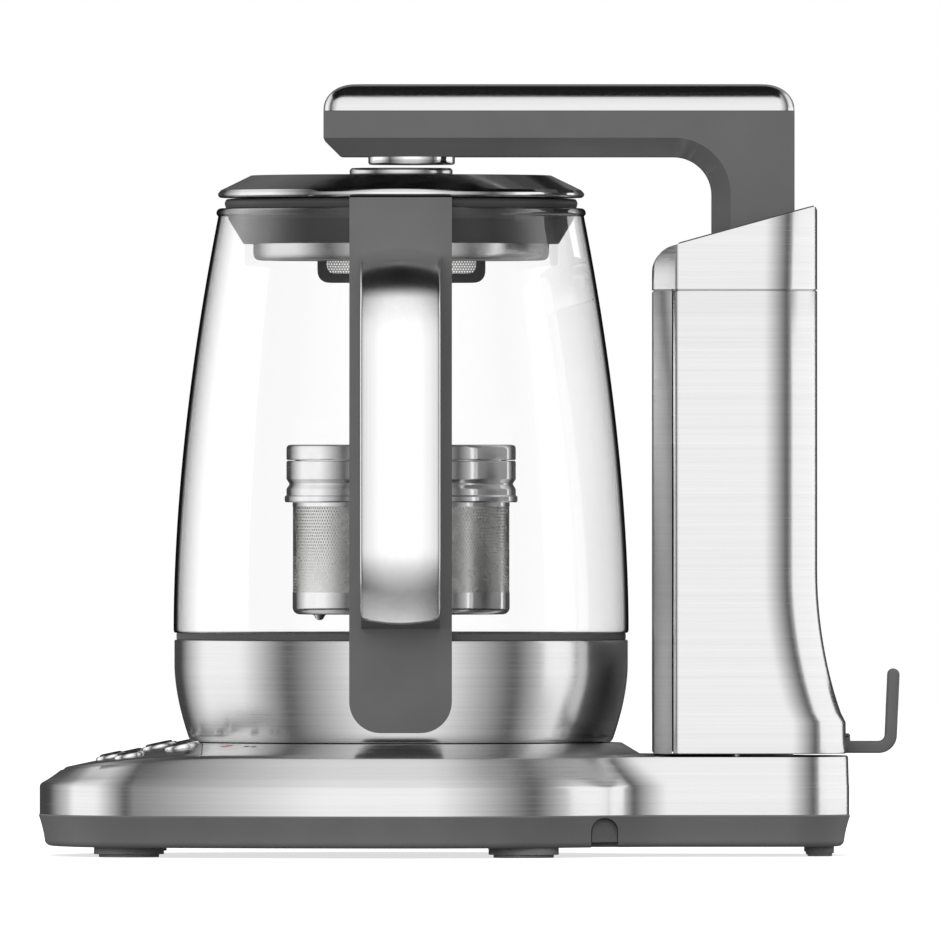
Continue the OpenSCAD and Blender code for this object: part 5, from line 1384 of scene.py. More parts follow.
@dataclass
class Tower:
    """The steel tower with its front strip, sloped cap and cord hook."""

    chamfer: float = 8.0
    corner_r: float = 21.0
    wall: float = 1.4
    slope: float = math.radians(15.5)
    shoulder: float = 9.0
    foot_h: float = 0.2
    sleeve_h: float = 158.9
    cap_h: float = 159.3

    def rear(self, h: float) -> float:
        """Rear face at height h above the deck."""
        t = max(0.0, min(1.0, (h - 11) / (FLARE_H - 11)))
        return TOWER_REAR + TOWER_FLARE * (1 - math.sin(math.pi / 2 * t) ** 0.75)

    def plan(self, h: float, inset: float, front: float, back: float) -> list[Point2]:
        """The tower's plan at height h, kept between two planes along X.

        Args:
            h: height above the deck.
            inset: how far the outline is moved in.
            front: where the plan starts.
            back: where it ends.

        Returns:
            The half outline on the grip's side, from front to back.
        """
        w, c, r, x = TOWER_HALF, self.chamfer, self.corner_r, self.rear(h)
        k = inset * math.tan(math.radians(22.5))
        corner = [(TOWER_FRONT + inset, 0.0, 0.0), (TOWER_FRONT + inset, -w + c + k, 2.2),
                (TOWER_FRONT + c + k, -w + inset, 2.2), (x, -w + inset, 0.0)]
        rounded = fillet(corner, 0, 5)[1:-1]
        half = rounded + arc((x - r, r - w), r - inset, 270, 360, 18)
        out: list[Point2] = []
        for p in half:
            if front - 1e-6 <= p[0] <= back + 1e-6:
                out.append(p)
        return out

    def cut_plan(self, h: float, inset: float) -> list[Point2]:
        """The whole outline at height h, moved in by inset."""
        half = self.plan(h, inset, -1e3, 1e3)
        return half + [(x, -y) for x, y in reversed(half)]

    def heights(self) -> list[float]:
        """Heights above the deck at which the sleeve has a ring."""
        flare = [4.0, 11.0] + [11 + 52 * t / 16 for t in range(1, 17)]
        return [self.foot_h, 0.5] + flare + [90.0, 120.0, 158.5, self.sleeve_h]

    def sleeve(self, name: str) -> Solid:
        """The tower's whole wall."""
        outer, inner = [], []
        for h in self.heights():
            lip = 0.3 if h in (self.foot_h, self.sleeve_h) else 0.0
            outer.append([(x, y, Z.deck + h) for x, y in self.dented(h, lip)])
            inner.append([(x, y, Z.deck + h) for x, y in self.cut_plan(h, self.wall)])
        # The lip that centres the cap and closes the seam from inside.
        outer += [[(x, y, Z.deck + h) for x, y in self.cut_plan(self.sleeve_h, 0.6)] for h in (self.sleeve_h,
                159.25)]
        inner.append([(x, y, Z.deck + 159.25) for x, y in self.cut_plan(self.sleeve_h, self.wall)])
        return Form(name).loft(outer + inner[::-1], closed=True).finish()

    def dented(self, h: float, inset: float) -> list[Point2]:
        """The outline at height h with the scoop over the cord hook pressed into the rear."""
        points = self.cut_plan(h, inset)
        rise = smooth((h - 4) / 5) * (1 - smooth((h - 13) / 16))
        width = 31.0 - 12.0 * (h - 4) / 26
        out = []
        for x, y in points:
            side = 1 - smooth((abs(y) - width * 0.72) / (width * 0.2))
            behind = smooth((x - self.rear(h) + 9) / 5)
            out.append((x - 1.6 * rise * side * behind, y))
        return out

    def build(self) -> None:
        """Builds the front strip, the shell, the cap with its top plate, and the hook."""
        strip = self.sleeve("tower_strip")
        trim(strip, oblong(-10, PANEL_SEAM - 0.2, 60), 20, 260, "xy", "INTERSECT")
        shell = self.sleeve("tower_back")
        trim(shell, oblong(-10, PANEL_SEAM + 0.2, 60), 20, 260)
        trim(shell, oblong(TOWER_REAR, 175, 8.1), 34, 42.6)
        for obj, look, node in ((strip, Look.STRIP_STEEL, "tower_front_panel"),
                (shell, Look.TOWER_STEEL, "tower_shell")):
            soften(obj, 0.3, 2, 40)
            piece(obj, look, "base", "brushed_steel_tower", node)
        self.cap()
        self.hook()

    def side(self, drop: float) -> list[Point2]:
        """The cap's silhouette along the arm, lowered by drop."""
        top = Z.tower_top - drop
        fall = (TOWER_REAR - TOWER_FRONT) * math.tan(self.slope)
        s = self.shoulder
        centre_z = top - fall + s * math.tan(self.slope) - s / math.cos(self.slope)
        lean = math.degrees(self.slope)
        round_top = arc((TOWER_FRONT + s, centre_z), s, 90 + lean, 180, 12)
        return [(TOWER_FRONT, Z.seam), (TOWER_REAR, Z.seam), (TOWER_REAR, top)] + round_top

    def slant(self, drop: float) -> list[Point2]:
        """The straight upper side of the cap, from rear to front, lowered by drop."""
        high = (TOWER_REAR + 2, Z.tower_top - drop + 2 * math.tan(self.slope))
        x = TOWER_FRONT + self.shoulder - 0.4 + 0.1 * (drop < 0)
        return [high, (x, high[1] - (high[0] - x) * math.tan(self.slope))]

    def cap(self) -> None:
        """The sloped cap, its dark top plate and the collar that guides the leg."""
        plan = self.cut_plan(self.cap_h, 0)
        cap = Form("tower_cap_steel").prism(plan, Z.seam, 240).finish()
        outline = self.side(0)
        outline[2:3] = [(TOWER_REAR, Z.tower_top - 1.6), (TOWER_REAR - 0.5, Z.tower_top - 0.5),
                (TOWER_REAR - 1.6, Z.tower_top - 0.45)]
        trim(cap, outline, -50, 50, "xz", "INTERSECT")
        inner = Form("inner").prism(self.cut_plan(self.cap_h, self.wall), Z.seam - 1, 240).finish()
        low = [(x, z - (1 if z == Z.seam else 0)) for x, z in self.side(2.4)]
        trim(inner, low, -60, 60, "xz", "INTERSECT")
        cut(cap, inner)
        seat = self.slant(1.44)
        above = [(x, z + 30) for x, z in reversed(seat)]
        pocket = Form("pocket").prism(self.cut_plan(self.cap_h, 0.98), Z.seam, 260).finish()
        trim(pocket, seat + above, -60, 60, "xz", "INTERSECT")
        cut(cap, pocket)
        trim(cap, oblong(LEG_FRONT - 2.0, LEG_REAR + 2.0, 22.0), Z.seam + 1, 260)
        soften(cap, 0.46, 3, 40)
        piece(cap, Look.TOWER_STEEL, "base", "brushed_steel_tower", "tower_cap")
        top = Form("tower_top_plate").prism(self.cut_plan(self.cap_h, 1.1), Z.seam, 260).finish()
        face = self.slant(-0.45)
        trim(top, face + list(reversed([(x, z - 1.85) for x, z in face])), -60, 60, "xz", "INTERSECT")
        collar = Form("collar").prism(oblong(LEG_FRONT - 1.9, LEG_REAR + 1.9, 21.9), Z.seam + 4, 218).finish()
        under = [(90, 190), (150, 190)] + [(150, Z.tower_top + 1.0),
                (90, Z.tower_top + 1.0 - 60 * math.tan(self.slope))]
        trim(collar, under, -60, 60, "xz", "INTERSECT")
        cut(top, collar, "UNION")
        trim(top, oblong(LEG_FRONT - 0.4, LEG_REAR + 0.4, 20.4), Z.seam - 1, 270)
        soften(top, 0.3, 2, 40)
        piece(top, Look.DARK_PLASTIC, "base", "dark_plastic", "tower_top")

    def hook(self) -> None:
        """The cord hook: a flat bar bent upwards, with a stop at its root."""
        x0, z0 = TOWER_REAR + TOWER_FLARE, Z.deck + 0.2
        t, bend, lean = HOOK_T, 6.3, 0.9
        outer = arc((HOOK_X - lean - bend, z0 + bend), bend, 270, 360, 10)
        tip = arc((HOOK_X - t / 2, z0 + 29 - t / 2), t / 2, 0, 180, 12)
        inner = arc((HOOK_X - lean - bend, z0 + bend), bend - t, 360, 270, 8)
        loop = [(x0 - 7.5, z0)] + outer + tip + inner + [(x0 + 1.9, z0 + t), (x0 + 1.6, z0 + t + 0.4),
                (x0 + 1.6, z0 + 6.3), (x0 + 1.2, z0 + 6.7), (x0 - 7.5, z0 + 6.7)]
        hook = Form("hook").prism(loop, -HOOK_HALF, HOOK_HALF, "xz", 0.8, 3).finish()
        piece(hook, Look.GREY_PLASTIC, "base", "grey_plastic", "cord_hook")


@dataclass
class Arm:
    """The arm: plastic beam and leg, steel cover, and the magnetic coupler under its end."""

    repeats: Repeats
    chamfer: float = 5.0
    rise: float = 6.4

    def build(self) -> None:
        """Builds the arm's pieces."""
        self.body()
        self.cover()
        self.coupler()

    def body(self) -> None:
        """The beam and leg, with a slanted lower edge that runs round the elbow and down the leg."""
        body = Form("arm_beam").prism(self.side_loop(), -ARM_HALF, ARM_HALF, "xz").finish()
        for sign in (-1, 1):
            cut(body, self.edge_tool(sign))
        hollow = oblong(LEG_FRONT + 7.4, LEG_REAR - 2.2, 13)
        trim(body, hollow, Z.leg - 1, Z.cover - 2)
        cut(body, Form("magnet_seat").revolve([(0, Z.beam - 1), (10.2, Z.beam - 1), (10.2, Z.beam + 4),
                (0, Z.beam + 4)],
                (COUPLER_X, 0), 64).finish())
        for x in (40, 84):
            loop = [(0, Z.beam - 1), (3.2, Z.beam - 1), (3.2, Z.beam + 2.4), (0, Z.beam + 2.4)]
            cut(body, Form("screw_seat").revolve(loop, (x, 0), 32).finish())
        soften(body, 0.5, 3, 25)
        piece(body, Look.GREY_PLASTIC, "arm", "grey_plastic", "arm_body")
        screws = self.repeats.copies("arm_screw_heads", screw_head(2.8, 1.8, 1.15, 13.0),
                [(40, 0, 240.3), (84, 0, 240.3)],
                Look.ZINC)
        piece(screws, Look.ZINC, "arm", "zinc_screw", "arm_screws")

    def side_loop(self) -> list[Point2]:
        """The arm's outline from the side."""
        tip = [(ARM_TIP, Z.cover), (ARM_TIP, Z.beam + 6.4), (ARM_TIP + 0.35, Z.beam + 5.6),
                (ARM_TIP + 5.6, Z.beam + 0.35),
               (ARM_TIP + 6.4, Z.beam)]
        elbow = arc((LEG_FRONT - ELBOW_R, Z.beam - ELBOW_R), ELBOW_R, 90, 0, 20)
        return tip + elbow + [(LEG_FRONT, Z.leg), (LEG_REAR, Z.leg), (LEG_REAR, Z.cover)]

    def edge_tool(self, sign: int) -> Solid:
        """The cutter for one slanted lower edge, which follows the beam, the elbow and the leg."""
        half, c, rise = ARM_HALF, self.chamfer, self.rise
        path = [((ARM_TIP - 5, Z.beam), (0.0, -1.0))]
        centre = (LEG_FRONT - ELBOW_R, Z.beam - ELBOW_R)
        for k in range(21):
            a = math.radians(90 - 90 * k / 20)
            path.append(((centre[0] + ELBOW_R * math.cos(a), centre[1] + ELBOW_R * math.sin(a)),
                    (-math.cos(a), -math.sin(a))))
        path.append(((LEG_FRONT, Z.leg - 5), (-1.0, 0.0)))
        extra = 1.2
        rings = []
        for (x, z), (nx, nz) in path:
            def at(y: float, out: float) -> Point3:
                return x + nx * out, sign * y, z + nz * out
            rings.append([at(half - c - 0.01, 0.01 * rise / c), at(half + extra, -rise * (1 + extra / c)),
                    at(half + extra, 3.0),
                    at(half - c - 0.01, 3.0)])
        return Form("edge").loft(rings).finish()

    def cover(self) -> None:
        """The steel cover: a long pressed lid with rounded sides and ends."""
        steps, r = 12, 8.7
        rings = []
        for k in range(steps + 1):
            t = math.pi / 2 * k / steps
            inset, z = r * (1 - math.cos(t)), Z.arm_top - r + r * math.sin(t)
            end = 11.3 * (1 - math.cos(t) ** 0.9)
            rings.append((inset, end, z))
        def outline(inset: float, end: float, z: float) -> list[Point3]:
            x0, x1, w = ARM_TIP + end, LEG_REAR - end, ARM_HALF - inset
            corner = max(1.2, 6 - inset * 0.4)
            loop = fillet([(x0, -w, corner), (x1, -w, corner), (x1, w, corner), (x0, w, corner)], 0, 8)
            return [(x, y, z) for x, y in loop]
        outer = [outline(0, 0, Z.cover + 0.15)] + [outline(*ring) for ring in rings]
        inner = [outline(i + 1.2, e + 1.2, min(z, Z.arm_top - 1.2)) for i, e, z in rings[:-3]]
        closed = Form("arm_cover_steel")
        rows = [closed.ring(p) for p in [outline(1.2, 1.2, Z.cover + 0.15)] + outer]
        for a, b in zip(rows, rows[1:]):
            closed.bridge(a, b)
        closed.bm.faces.new(rows[-1])
        lining = [closed.ring(p) for p in inner]
        closed.bridge(rows[0], lining[0])
        for a, b in zip(lining, lining[1:]):
            closed.bridge(a, b)
        closed.bm.faces.new(lining[-1])
        piece(closed.finish(30), Look.ARM_STEEL, "arm", "satin_steel", "arm_cover")

    def coupler(self) -> None:
        """The chromed cup of the coupler, which the magnet sits in."""
        r = COUPLER_R
        loop = [(0, 0.75), (10.2, 0.75), (10.2, 2.7), (r, 2.7), (r, 0.75), (r - 0.15, 0.35), (r - 0.55, 0.05),
                (r - 0.9, 0), (0, 0)]
        cup = Form("coupler").revolve(loop, (COUPLER_X, 0), 128, Z.coupler).finish(50)
        piece(cup, Look.CHROME, "arm", "chrome_trim", "coupler_cup")


# ------------------------------------------------------------------ the kettle

def glass_at(z: float) -> float:
    """Outside radius of the glass at height z."""
    t = max(0.0, z - Z.glass - 2) / (Z.mouth - Z.glass - 2)
    return GLASS_R - (GLASS_R - MOUTH_R) * t ** 1.8


def shell_at(z: float) -> float:
    """Outside radius of the steel foot ring at height z."""
    t = max(0.0, Z.shell_top - 8.6 - z) / (35 - 8.6)
    return SHELL_R - (SHELL_R - 72.5) * t ** 1.75


@dataclass
class Kettle:
    """The glass kettle without its lid and basket."""

    repeats: Repeats

    def build(self) -> None:
        """Builds the kettle's pieces."""
        self.glass()
        self.rim()
        self.handle()
        self.filter()
        self.foot()

    @staticmethod
    def reach(z: float, turn: float, inset: float) -> float:
        """Radius of the glass at a height and direction, with the pouring lip pushed out at +Y.

        Args:
            z: the height.
            turn: the direction, in radians from +X.
            inset: how far the surface is moved in.

        Returns:
            The radius.
        """
        base = glass_at(min(z, Z.mouth)) - inset
        low = Z.mouth - LIP_DROP
        if z <= low:
            return base
        cone = LIP_FOOT_R + (LIP_R - LIP_FOOT_R) * min(1.0, (z - low) / LIP_DROP) - inset
        s, c = math.sin(turn), math.cos(turn)
        under = cone * cone - (LIP_Y * c) ** 2
        if s <= 0 or under <= 0:
            return base
        lip = LIP_Y * s + math.sqrt(under)
        k = 9.0
        return base + math.log(1 + math.exp((lip - base) * k / 10)) * 10 / k if lip - base > -12 else base

    def glass(self) -> None:
        """The blown jug: a closed wall with a fire-polished mouth, a bead and a pouring lip."""
        steps = 192
        turns = [math.tau * k / steps for k in range(steps)]
        levels = [Z.glass, Z.glass + 0.3,
                Z.glass + 1.0] + [Z.glass + 2 + (Z.mouth - Z.glass - 5.0) * k / 44 for k in range(45)]

        def row(z: float, inset: float) -> list[Point3]:
            rounding = {Z.glass: 0.5, Z.glass + 0.3: 0.15}.get(z, 0.0)
            sign = 1 if inset == 0 else -1
            rs = [self.reach(z, t, inset) - rounding * sign for t in turns]
            return [(r * math.cos(t), r * math.sin(t), z) for r, t in zip(rs, turns)]

        outer = [row(z, 0.0) for z in levels]
        bead = []
        for out, up in ((0.1, -2.6), (0.5, -2.35), (0.8, -1.9), (0.9, -1.35), (0.8, -0.8), (0.5, -0.35),
                (0.1, -0.1), (-0.5, 0.0),
                (-1.2, -0.05), (-1.65, -0.4)):
            # The bead is flatter behind the handle's strap.
            flat = [0.2 + 0.8 * smooth((abs(MOUTH_R * math.cos(t)) - 18) / 5) if math.sin(t) < 0 else 1.0
                    for t in turns]
            rs = [self.reach(Z.mouth + min(up, -0.5), t, 0.0) + out * (f if out > 0 else 1.0) for t,
                    f in zip(turns, flat)]
            bead.append([(r * math.cos(t), r * math.sin(t), Z.mouth + up) for r, t in zip(rs, turns)])
        inner = [row(z, GLASS_WALL) for z in reversed(levels)]
        jug = Form("jug").loft(outer + bead + inner, closed=True).finish(60)
        piece(jug, Look.GLASS, "kettle", "clear_glass", "glass_jug")
        inlay(jug, Look.GLASS_INSIDE, lambda r, z, out: out < -0.2)
        inlay(jug, Look.GLASS_MOUTH, lambda r, z, out: z > Z.mouth - 2.75 and out > -0.2)

    def rim(self) -> None:
        """The dark ring on the mouth, with its funnel wall and the gap for the filter."""
        r, m = MOUTH_R - GLASS_WALL, Z.mouth
        loop = [(r - 3.8, Z.rim, 0.4), (r - 0.6, Z.rim, 1.1), (r, m + 1.7, 1.2), (r - 0.5, m, 0.3),
                (r - 1.2, m, 0.2), (r - 1.4, m - 3.8, 0.8),
                (FUNNEL_R, m - 12.2, 0.3), (FUNNEL_R - 1.7, m - 12.2, 0.3), (r - 3.7, m - 4.8, 0.8)]
        ring = Form("mouth_ring").revolve(fillet(loop, 0.3, 3), (0, 0), ROUND).finish()
        box = [(-29.3, 20), (29.3, 20), (29.3, 70), (-29.3, 70)]
        trim(ring, box, m - 14, m - 3.4)
        shade(ring.data, 40)
        piece(ring, Look.DARK_PLASTIC, "kettle", "dark_plastic", "rim_ring")

    # ---- handle
    @staticmethod
    def grip_line(inset: float) -> list[Point2]:
        """The grip's line from its lower to its upper root as (y, z), moved in by inset."""
        steps, power, count = 24, 2 / 2.15, 28
        out: list[Point2] = []
        if inset > 5:
            # The finger side: a plain round bend.
            base = Z.kettle + 37.6
            for k in range(count):
                t = math.pi / 2 * (1 - k / (count - 1))
                out.append((-GLASS_R - (GRIP_Y - GLASS_R - inset) * math.cos(t) ** 0.87,
                        base + inset + (34 - inset) * (1 - math.sin(t) ** 0.87)))
        else:
            # Down from the straight part, leaning back more and more, then nearly level into the strap.
            y, z, start, end = -GRIP_Y, 106.7, 106.7, 79.6
            for k in range(count):
                slope = 1.32 * min(1.0, k / 12) if k <= 20 else 1.32 + 1.1 * (k - 20)
                lean, fall = math.atan(slope), (start - end) / 20 if k < 20 else 0.55
                out.append((y + inset * math.cos(lean), z + inset * math.sin(lean)))
                y, z = y + fall * slope, z - fall
            out.reverse()
        top = Z.mouth - 14.4
        root = -glass_at(top)
        for i in range(steps + 1):
            t = math.pi / 2 * i / steps
            out.append((root - (GRIP_Y + root - inset) * max(0.0, math.cos(t)) ** power,
                    top - inset - (33 - inset) * (1 - math.sin(t) ** power)))
        return out

    def blade(self, name: str, layers: Sequence[tuple[float, float]], inner: float) -> Solid:
        """A bent strip whose outer face is rounded at its sides.

        Args:
            name: its name.
            layers: pairs of half width and inset, from one side's rear edge over the face.
            inner: inset of the flat rear face.

        Returns:
            The strip.
        """
        rows = []
        count = len(self.grip_line(0))
        lines = {round(i, 4): self.grip_line(i) for _, i in layers}
        lines[round(inner, 4)] = self.grip_line(inner)
        section = [(-w, i) for w, i in layers] + [(w, i) for w, i in reversed(layers)]
        section = [(-layers[0][0], inner)] + section + [(layers[0][0], inner)]
        for k in range(count):
            rows.append([(x, lines[round(i, 4)][k][0], lines[round(i, 4)][k][1]) for x, i in section])
        first, last = rows[0], rows[-1]
        rows.insert(0, [(x, y + 4, z) for x, y, z in first])
        rows.append([(x, y + 4, z) for x, y, z in last])
        return Form(name).loft(rows).finish(45)

    def skin(self, name: str, gap: float, top: float, low: float = 40.0) -> Solid:
        """The kettle's own outside, moved out by gap, as a cutter."""
        levels = [low, 50, 58, 66, 74, 76.5] + [76.5 + (top - 76.5) * k / 24 for k in range(1, 25)]
        loop = [(0, low)] + [((GLASS_R if z < 79 else glass_at(z)) + gap, z) for z in levels] + [(0, top)]
        return Form(name).revolve(loop, (0, 0), ROUND).finish()

    def handle(self) -> None:
        """The strap down the glass, the grip and the brushed face on it."""
        low, corner = Z.kettle + 3.6, 10.7
        half = STRAP_W / 2
        plan = [(-half, Z.rim)] + arc((-half + corner, low + corner), corner, 180, 270, 12)
        plan += arc((half - corner, low + corner), corner, 270, 360, 12) + [(half, Z.rim)]
        strap = Form("strap").prism(plan, -120, -45, "xz").finish()
        levels = [low - 2 + (Z.rim + 4 - low) * k / 40 for k in range(41)]
        front = [(-(GLASS_R if z < 79 else glass_at(min(z, Z.mouth))) - STRAP_T, z) for z in levels]
        side = [(-30, levels[-1]), (-30, levels[0])] + front
        trim(strap, [(y, z) for y, z in side], -40, 40, "yz", "INTERSECT")
        cut(strap, self.skin("skin", 0.3, Z.mouth + 0.2))
        cut(strap, Form("mouth").revolve([(0, 210), (63.3, 217.3), (63.3, 222.5), (60.8, 222.5), (60.8, 240),
                (0, 240)], (0, 0), ROUND).finish())
        soften(strap, 0.7, 3, 40)
        grip = self.blade("grip", [(13.4, 2.65)], 15.0)
        cut(grip, self.skin("skin", 1.0, 216))
        soften(grip, 1.2, 3, 40)
        piece(strap, Look.GREY_PLASTIC, "kettle", "grey_plastic", "handle_strap")
        piece(grip, Look.GREY_PLASTIC, "kettle", "grey_plastic", "handle_strap")
        grip.visible_glossy = False
        edge = ((13.6, 0.6), (13.6, 0.35), (13.45, 0.15), (13.1, 0.03), (12.4, 0), (10.5, 0), (8.5, 0), (6, 0),
                (3, 0), (0.6, 0))
        face = self.blade("grip_skin", [(x, round(0.0105 * x * x + e, 3)) for x, e in edge], 2.6)
        cut(face, self.skin("skin", STRAP_T + 0.05, 216))
        end = [(-15, 240),
                (-15, 87)] + fillet([(-13.7, 87, 0.5), (-13.2, 81.2, 4.5), (0, 79.3, 40), (13.2, 81.2, 4.5),
                (13.7, 87, 0.5)], 0, 5)
        trim(face, end + [(15, 87), (15, 240)], -140, 0, "xz", "INTERSECT")
        shade(face.data, 45)
        face.visible_glossy = False
        piece(face, Look.GRIP_STEEL, "kettle", "satin_steel", "grip_face")

    def filter(self) -> None:
        """The pouring filter: a dark frame and a perforated steel sheet behind the mouth."""
        low, high, half = Z.mouth - 25.3, Z.mouth - 3.6, 29.0
        r0, r1 = FILTER_R, FILTER_R + 2.5
        wall = Form("filter_frame").revolve([(r0, low - 1), (r1, low - 1), (r1, high + 1), (r0, high + 1)], (0, 0),
                FINE_ROUND).finish()

        def window(inset: float, r: float, y0: float) -> Solid:
            w = half - inset
            loop = fillet([(-w, low + inset, r), (w, low + inset, r), (w, high - inset, r), (-w, high - inset, r)],
                    0, 6)
            return Form("window").prism(loop, y0, 70, "xz").finish()

        cut(wall, window(0, 4.5, 20), "INTERSECT")
        cut(wall, window(3.2, 3.0, 10))
        soften(wall, 0.3, 2, 40)
        piece(wall, Look.DARK_PLASTIC, "kettle", "dark_plastic", "spout_filter_frame")
        r, pitch = FILTER_R + 1.2, 1.0
        columns = 54
        start = math.pi - columns * pitch / r / 2
        sheet = self.repeats.perforated("filter_sheet", Look.MESH_STEEL, r, low + 3.0, pitch, 19, 0.35, 0.33,
                columns, start)
        piece(sheet, Look.MESH_STEEL, "kettle", "satin_steel", "spout_filter_mesh")

    def foot(self) -> None:
        """The steel foot ring, gasket and heater plate."""
        levels = [Z.kettle + 35 * k / 28 for k in range(1, 28)]
        loop = [(shell_at(Z.kettle) - 1.2, Z.kettle + 0.1), (shell_at(Z.kettle) - 0.5, Z.kettle)]
        loop += [(shell_at(Z.kettle) - 0.1, Z.kettle + 0.25)] + [(shell_at(z), z) for z in levels]
        loop += [(SHELL_R, Z.shell_top - 0.5), (SHELL_R - 0.15, Z.shell_top - 0.15), (SHELL_R - 0.5, Z.shell_top),
                (SHELL_R - 1.2, Z.shell_top)]
        loop += [(shell_at(z) - 1.2, z) for z in reversed(levels)]
        turned("foot_shell", loop, FINE_ROUND, Look.KETTLE_STEEL, "kettle", "brushed_steel_kettle", "kettle_shell")
        g = [(70.2, 74.1), (77.2, 74.1), (77.2, 76.5), (70.2, 76.5)]
        turned("gasket", fillet(g, 0.5, 4), FINE_ROUND, Look.SILICONE, "kettle", "silicone_grey", "glass_gasket",
                50)
        top = Z.shell_top
        plate = [(0, top - 1.6), (76.6, top - 1.6), (76.6, top - 0.2), (70.0, top - 0.05), (70.0, 74.7),
                (69.6, 75.0), (0, 75.0)]
        turned("heater", plate, FINE_ROUND, Look.SATIN_STEEL, "kettle", "satin_steel", "heater_plate")


@dataclass
class Lid:
    """The lid: polished cover, dark plug, steel cup and seal."""

    def build(self) -> None:
        """Builds the lid's pieces."""
        z, t = Z.lid, Z.lid_top
        cover = [(4.0, t, 0.3), (51.5, t, 0.9), (61.9, z + 2.64, 0.5), (62.9, z + 1.54, 0.4), (62.9, z + 0.66, 0.4),
                (62.1, z, 0.3), (60.9, z, 0.3),
                (60.9, z + 1.64, 0.3), (50.9, t - 1.0, 0.5), (4.0, t - 1.0, 0.2)]
        # The cover takes a darker copy of the polished steel as painted shade; its rounded lip takes the brighter
        # polished steel as a painted highlight.
        lid = turned("lid_top", fillet(cover, 0.3, 4), FINE_ROUND, Look.LID_STEEL, "lid", "polished_steel",
                "lid_cover", 32)
        # The rounded lip takes the brighter polished steel: a painted highlight against the darker cover.
        inlay(lid, Look.POLISHED_STEEL, lambda r, h, out: r > 61.0 and h < z + 2.2 and out > 0.3)
        plug = [(3.06, t - 1.1), (50.4, t - 1.1), (60.3, z + 1.4), (60.3, z + 0.1), (CUP_R - 0.6, z),
                (CUP_R - 0.6, 211.0), (CUP_R - 2.6, 211.0),
                (CUP_R - 2.6, z - 1), (7, z - 1), (7, 211.0), (3.06, 211.0)]
        turned("lid_core", fillet(plug, 0.3, 2), ROUND, Look.DARK_PLASTIC, "lid", "dark_plastic", "lid_plug")
        low, r = Z.rim - 21.1, CUP_R
        cup = [(4.0, low), (r - 2.4, low), (r - 1.1, low + 0.3), (r - 0.3, low + 1.1), (r, low + 2.4), (r, 210.9),
                (r - 0.8, 210.9),
               (r - 0.8, low + 2.4), (r - 1.2, low + 1.4), (r - 2.4, low + 0.8), (4.0, low + 0.8)]
        turned("lid_cup_steel", cup, FINE_ROUND, Look.SATIN_STEEL, "lid", "polished_steel", "lid_cup")
        seal = [(r - 0.6, 213.0), (51.8, 215.4), (52.1, 215.8), (51.8, 216.2), (r - 0.6, 217.2)]
        turned("lid_ring", seal, ROUND, Look.SILICONE, "lid", "silicone_grey", "lid_seal")


@dataclass
class Basket:
    """The tea basket with its cap, the rod and the rod's head."""

    repeats: Repeats

    def build(self) -> None:
        """Builds the pieces that the arm lifts."""
        head = [(0, 0), (17.3, 0, 0.2), (17.7, 0.4, 0.3), (17.7, 1.6, 0.5), (17.0, 2.4, 0.3), (0, 2.4)]
        rounded = [(0, 0)] + fillet(head, 0.3, 4)[4:-5] + [(0, 2.38)]
        knob = Form("rod_knob").revolve([(max(0.0, r), z) for r, z in rounded], (0, 0), ROUND, Z.head).finish()
        piece(knob, Look.SATIN_STEEL, "lifter", "satin_steel", "rod_head")
        rod = [(0, 138.1), (ROD_R, 138.1), (ROD_R, Z.head - 0.1), (0, Z.head - 0.1)]
        bar = Form("rod").revolve(rod, (0, 0), 64).finish()
        piece(bar, Look.POLISHED_STEEL, "lifter", "polished_steel", "lift_rod")
        c = COLLAR_R
        cap = [(ROD_R, Z.cap_top), (c - 1.6, Z.cap_top), (c - 0.7, Z.cap_top - 0.15), (c - 0.15, Z.cap_top - 0.65),
                (c, Z.cap_top - 1.4),
               (c, Z.cap + 0.6), (c - 0.3, Z.cap + 0.25), (36.4, Z.cap + 0.2), (36.4, Z.cap - 3.4),
                (35.4, Z.cap - 3.4), (35.4, Z.cap_top - 1.2),
               (ROD_R, Z.cap_top - 1.2)]
        turned("basket_lid", cap, ROUND, Look.POLISHED_STEEL, "lifter", "polished_steel", "basket_cap")
        zc, g = Z.collar, Z.collar + 6.3
        collar = [(36.7, zc), (c + 0.3, zc, 0.2), (c + 0.6, zc + 0.5, 0.3), (c + 0.6, zc + 2.0, 0.3),
                (c, zc + 2.4, 0.4), (c, g - 1.7, 0.7),
                (c - 1.1, g, 0.8), (c, g + 1.7, 0.7), (c, Z.cap - 0.4, 0.3), (c - 0.4, Z.cap, 0.2), (36.7, Z.cap)]
        turned("collar", fillet(collar, 0.1, 4), ROUND, Look.POLISHED_STEEL, "basket", "polished_steel",
                "basket_collar")
        self.wall()

    def wall(self) -> None:
        """The basket's solid bands and bottom, the perforated sheet between them, and the stud under it."""
        r, z, t = BASKET_R, Z.basket, 0.6
        low, high = 90.4, 119.9
        curve = [(r - 2.4 + 2.4 * math.sin(a),
                z + 2.4 - 2.4 * math.cos(a)) for a in (math.pi / 2 * k / 6 for k in range(7))]
        cup = [(0, z)] + curve + [(r, low), (r - t, low), (r - t, z + 2.6), (r - 2.2, z + 0.8), (r - 3.5, z + t),
                (0, z + t)]
        form = Form("basket_cup").revolve(cup, (0, 0), ROUND)
        form.revolve([(r - t, high), (r, high), (r, 121.25), (r - t, 121.25)], (0, 0), ROUND)
        stud = [(0, z - 2.0), (0.7, z - 1.95), (1.3, z - 1.5), (1.9, z - 0.4), (2.6, z + 0.02), (0, z + 0.02)]
        form.revolve(stud, (-28, 0), 24)
        piece(form.finish(), Look.POLISHED_STEEL, "basket", "satin_steel", "basket_body")
        columns, rows = 190, 28
        middle = r - t / 2
        pitch = math.tau * middle / columns
        sheet = self.repeats.perforated("basket_sheet", Look.MESH_STEEL, middle, low + 0.3, pitch, rows, 0.4, 0.4,
                columns)
        piece(sheet, Look.MESH_STEEL, "basket", "satin_steel", "basket_body")


